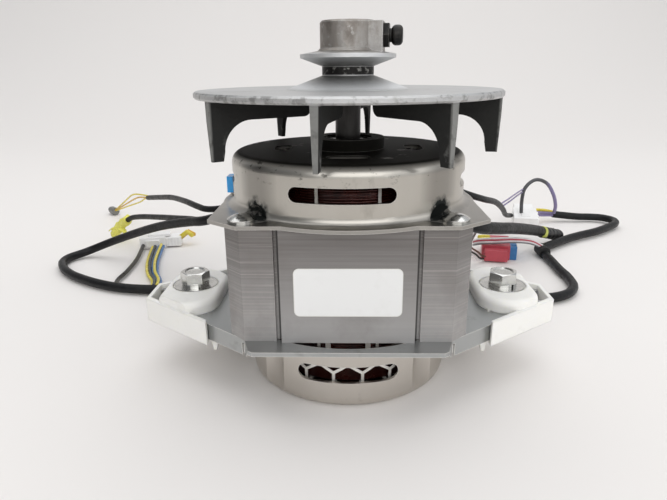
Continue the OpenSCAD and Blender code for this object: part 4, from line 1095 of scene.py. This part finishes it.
lay_bundle(
    "splice_tail", [(-185, 234, 36), (-197, 249, 32), (-206, 259, 27), (-229, 285, 16), (-250, 307, 6)],
    [
        ((0.6, 0.6, 1.0), (-5, 0, 6), (0.5, 0.5, 0.7), "yellow"),
        ((-0.8, 0, -0.5), (-2, 0, 2.5), (-0.5, 0, -0.4), "amber"),
        ((1.0, -0.8, -0.4), (2, 0, -1), (0.6, -0.6, -0.5), "yellow"),
    ],
    1.5, "splice_lead",
)
lay_bundle(
    "jumper_wire", [(-136, 91, 4), (-139, 104, 4), (-148, 123, 3.5), (-157, 150, 3.5), (-165, 188, 4)],
    [
        ((-2.4, 0, -0.6), (-4.6, 0, -1.2), (-5.2, 0, -1.2), "yellow"),
        ((-1.2, 0, 0.8), (-2.4, 0, -0.8), (-3.0, 0, -0.6), "slate"),
        ((0.3, 0, -0.6), (0, 0, -1.2), (0.2, 0, -1.2), "blue"),
        ((1.2, 0, 1.0), (1.2, 0, 0.8), (2.4, 0, 0.6), "yellow"),
        ((2.4, 0, -0.5), (3.2, 0, -1.0), (4.4, 0, -0.8), "blue"),
    ],
    2.2, "jumper_leads",
)
sense_route = [(-179, 191, 4), (-172, 155, 3), (-169, 125, 3), (-169, 108, 3), (-166, 95.6, 3.5)]
lay_lead("sense_wire", sense_route, 3.2, 18, pvc["black"], "sense_lead")

loop_pvc, tree = new_finish("loop_pvc", 0.35)
layered(tree, (0.07, 0.07, 0.075), [
    (along(tree, 0.188, 0.194, sideways), 1, (0.22, 0.19, 0.34)),
    (blotches(tree, 200, 0.55, 0.8), 1, (0.12, 0.11, 0.13)),
])
loop_route = [
    (168, 258, 13), (166, 254, 28), (168, 254, 40), (178, 257, 47), (190, 260, 43), (199, 264, 31),
    (204, 269, 19), (206, 276, 10),
]
lay_lead(
    "loop_wire", loop_route, 3.4, 20, loop_pvc, "loop_lead"
)
lay_bundle(
    "loop_feeder", [(122, 172, 43), (136, 196, 42), (151, 224, 40.5), (166, 254, 37.5)],
    [
        ((0, 0, 0), (0, 0, 0.4), (0, 0, 1.2), "purple"),
        ((6, 14, -5), (3, 7, -3.4), (0, 0, -1.4), "purple"),
    ],
    1.4, None,
)
lay_bundle(
    "return_wire",
    [(180, 268, 11.5), (188, 273, 10.5), (196, 278, 9), (204, 279.5, 8.2), (212, 279.2, 7.1)],
    [
        ((-1, 0, 3.6), (0, 0, 3.4), (0, 0.6, 1.4), "yellow"),
        ((0, -2.0, 1.4), (0, -2.0, 1.0), (0, -1.2, 0.8), "purple"),
        ((0, -2.4, -1.4), (0, -2.2, -1.6), (0, -1.0, -0.9), "purple"),
        ((0, 0.4, 1.0), (0, 0.4, 0.8), (0, 0.4, -0.6), "amber"),
        ((0, 2.2, 2.6), (0, 2.2, 2.2), (0, 1.3, 0.3), "yellow"),
    ],
    2.6, "return_lead",
)
lay_bundle(
    "pair_wire",
    [
        (161, 170, 7), (150, 167, 13), (135, 163, 15.6), (119, 161, 15.6), (107, 165, 14),
        (104, 174, 10), (113, 184, 8),
    ],
    [
        ((0, 0.2, 1.6), (0, 0.4, 2.4), (0, 0, 2.0), "white"),
        ((0, 0, 0.6), (0, 0, 1.1), (0, -0.2, 0.9), "red"),
        ((0, -0.2, -0.4), (0, -0.4, -0.2), (0, -0.6, -0.3), "white"),
        ((0, 0.2, -1.4), (0, 0, -1.5), (0, -0.3, -1.5), "grey"),
    ],
    1.5, "lead_pair",
)
lay_bundle(
    "plug_wire",
    [(90, 100, 45), (92, 128, 26), (96, 147, 15), (103, 152, 9), (109, 154, 4), (116, 160, 4)],
    [
        ((0, 0, 0), (0, 0, 0.6), (0, 0, 1.4), "brown"),
        ((-1.6, 0, -1.6), (-1.6, 0, -1.4), (-1.6, 0, -0.6), "black"),
        ((-3.2, 0, -3.2), (-3.2, 0, -3.0), (-3.2, 0, -1.2), "white"),
    ],
    1.5, None,
)


# Ferrules and wire tails: crimped brass-yellow sleeves on wires that lie over the red housing,
# and two cut tails that stand out of the white housing on the left.
def round_bar(name, points, radius_mm, material):
    """A short solid bar with rounded ends that follows a few points, in millimetres."""
    sides = 14
    rounding = (0.0, 0.55, 0.9, 1.0)
    end_length = 0.5 * radius_mm
    end_radius = 0.3
    line = [Vector(p) for p in points]
    first = (line[1] - line[0]).normalized()
    last = (line[-1] - line[-2]).normalized()
    rings = []
    for share in rounding:
        rings.append((line[0] - first * end_length * (1 - share), share, first))
    for i in range(1, len(line) - 1):
        rings.append((line[i], 1.0, (line[i + 1] - line[i - 1]).normalized()))
    for share in reversed(rounding):
        rings.append((line[-1] + last * end_length * (1 - share), share, last))
    verts = []
    for middle, share, ahead in rings:
        side = ahead.cross(Vector((0, 0, 1))).normalized()
        over = side.cross(ahead)
        for k in range(sides):
            angle = 2 * math.pi * k / sides
            radius = radius_mm * max(share, end_radius)
            verts.append((middle + radius * (math.cos(angle) * side + math.sin(angle) * over)) / 1000)
    return mesh_piece(name, verts, tube_faces(len(rings), sides), material)


for name, points, radius, colour in (
    ("ferrule_1", [(109, 178, 14.3), (113, 178, 14.5), (118, 178, 14.3)], 1.7, "yellow"),
    ("ferrule_2", [(108, 172, 13.8), (112, 172, 14.2), (117, 172, 14.2)], 1.7, "yellow"),
    ("left_tail_1", [(-150, 201, 7), (-143, 201, 12.5), (-138, 200, 9)], 2, "yellow"),
    ("left_tail_2", [(-150, 204, 6), (-142, 204, 12), (-137, 203, 9)], 2, "amber"),
):
    bar = round_bar(name, points, radius, pvc[colour])
    settle(bar)
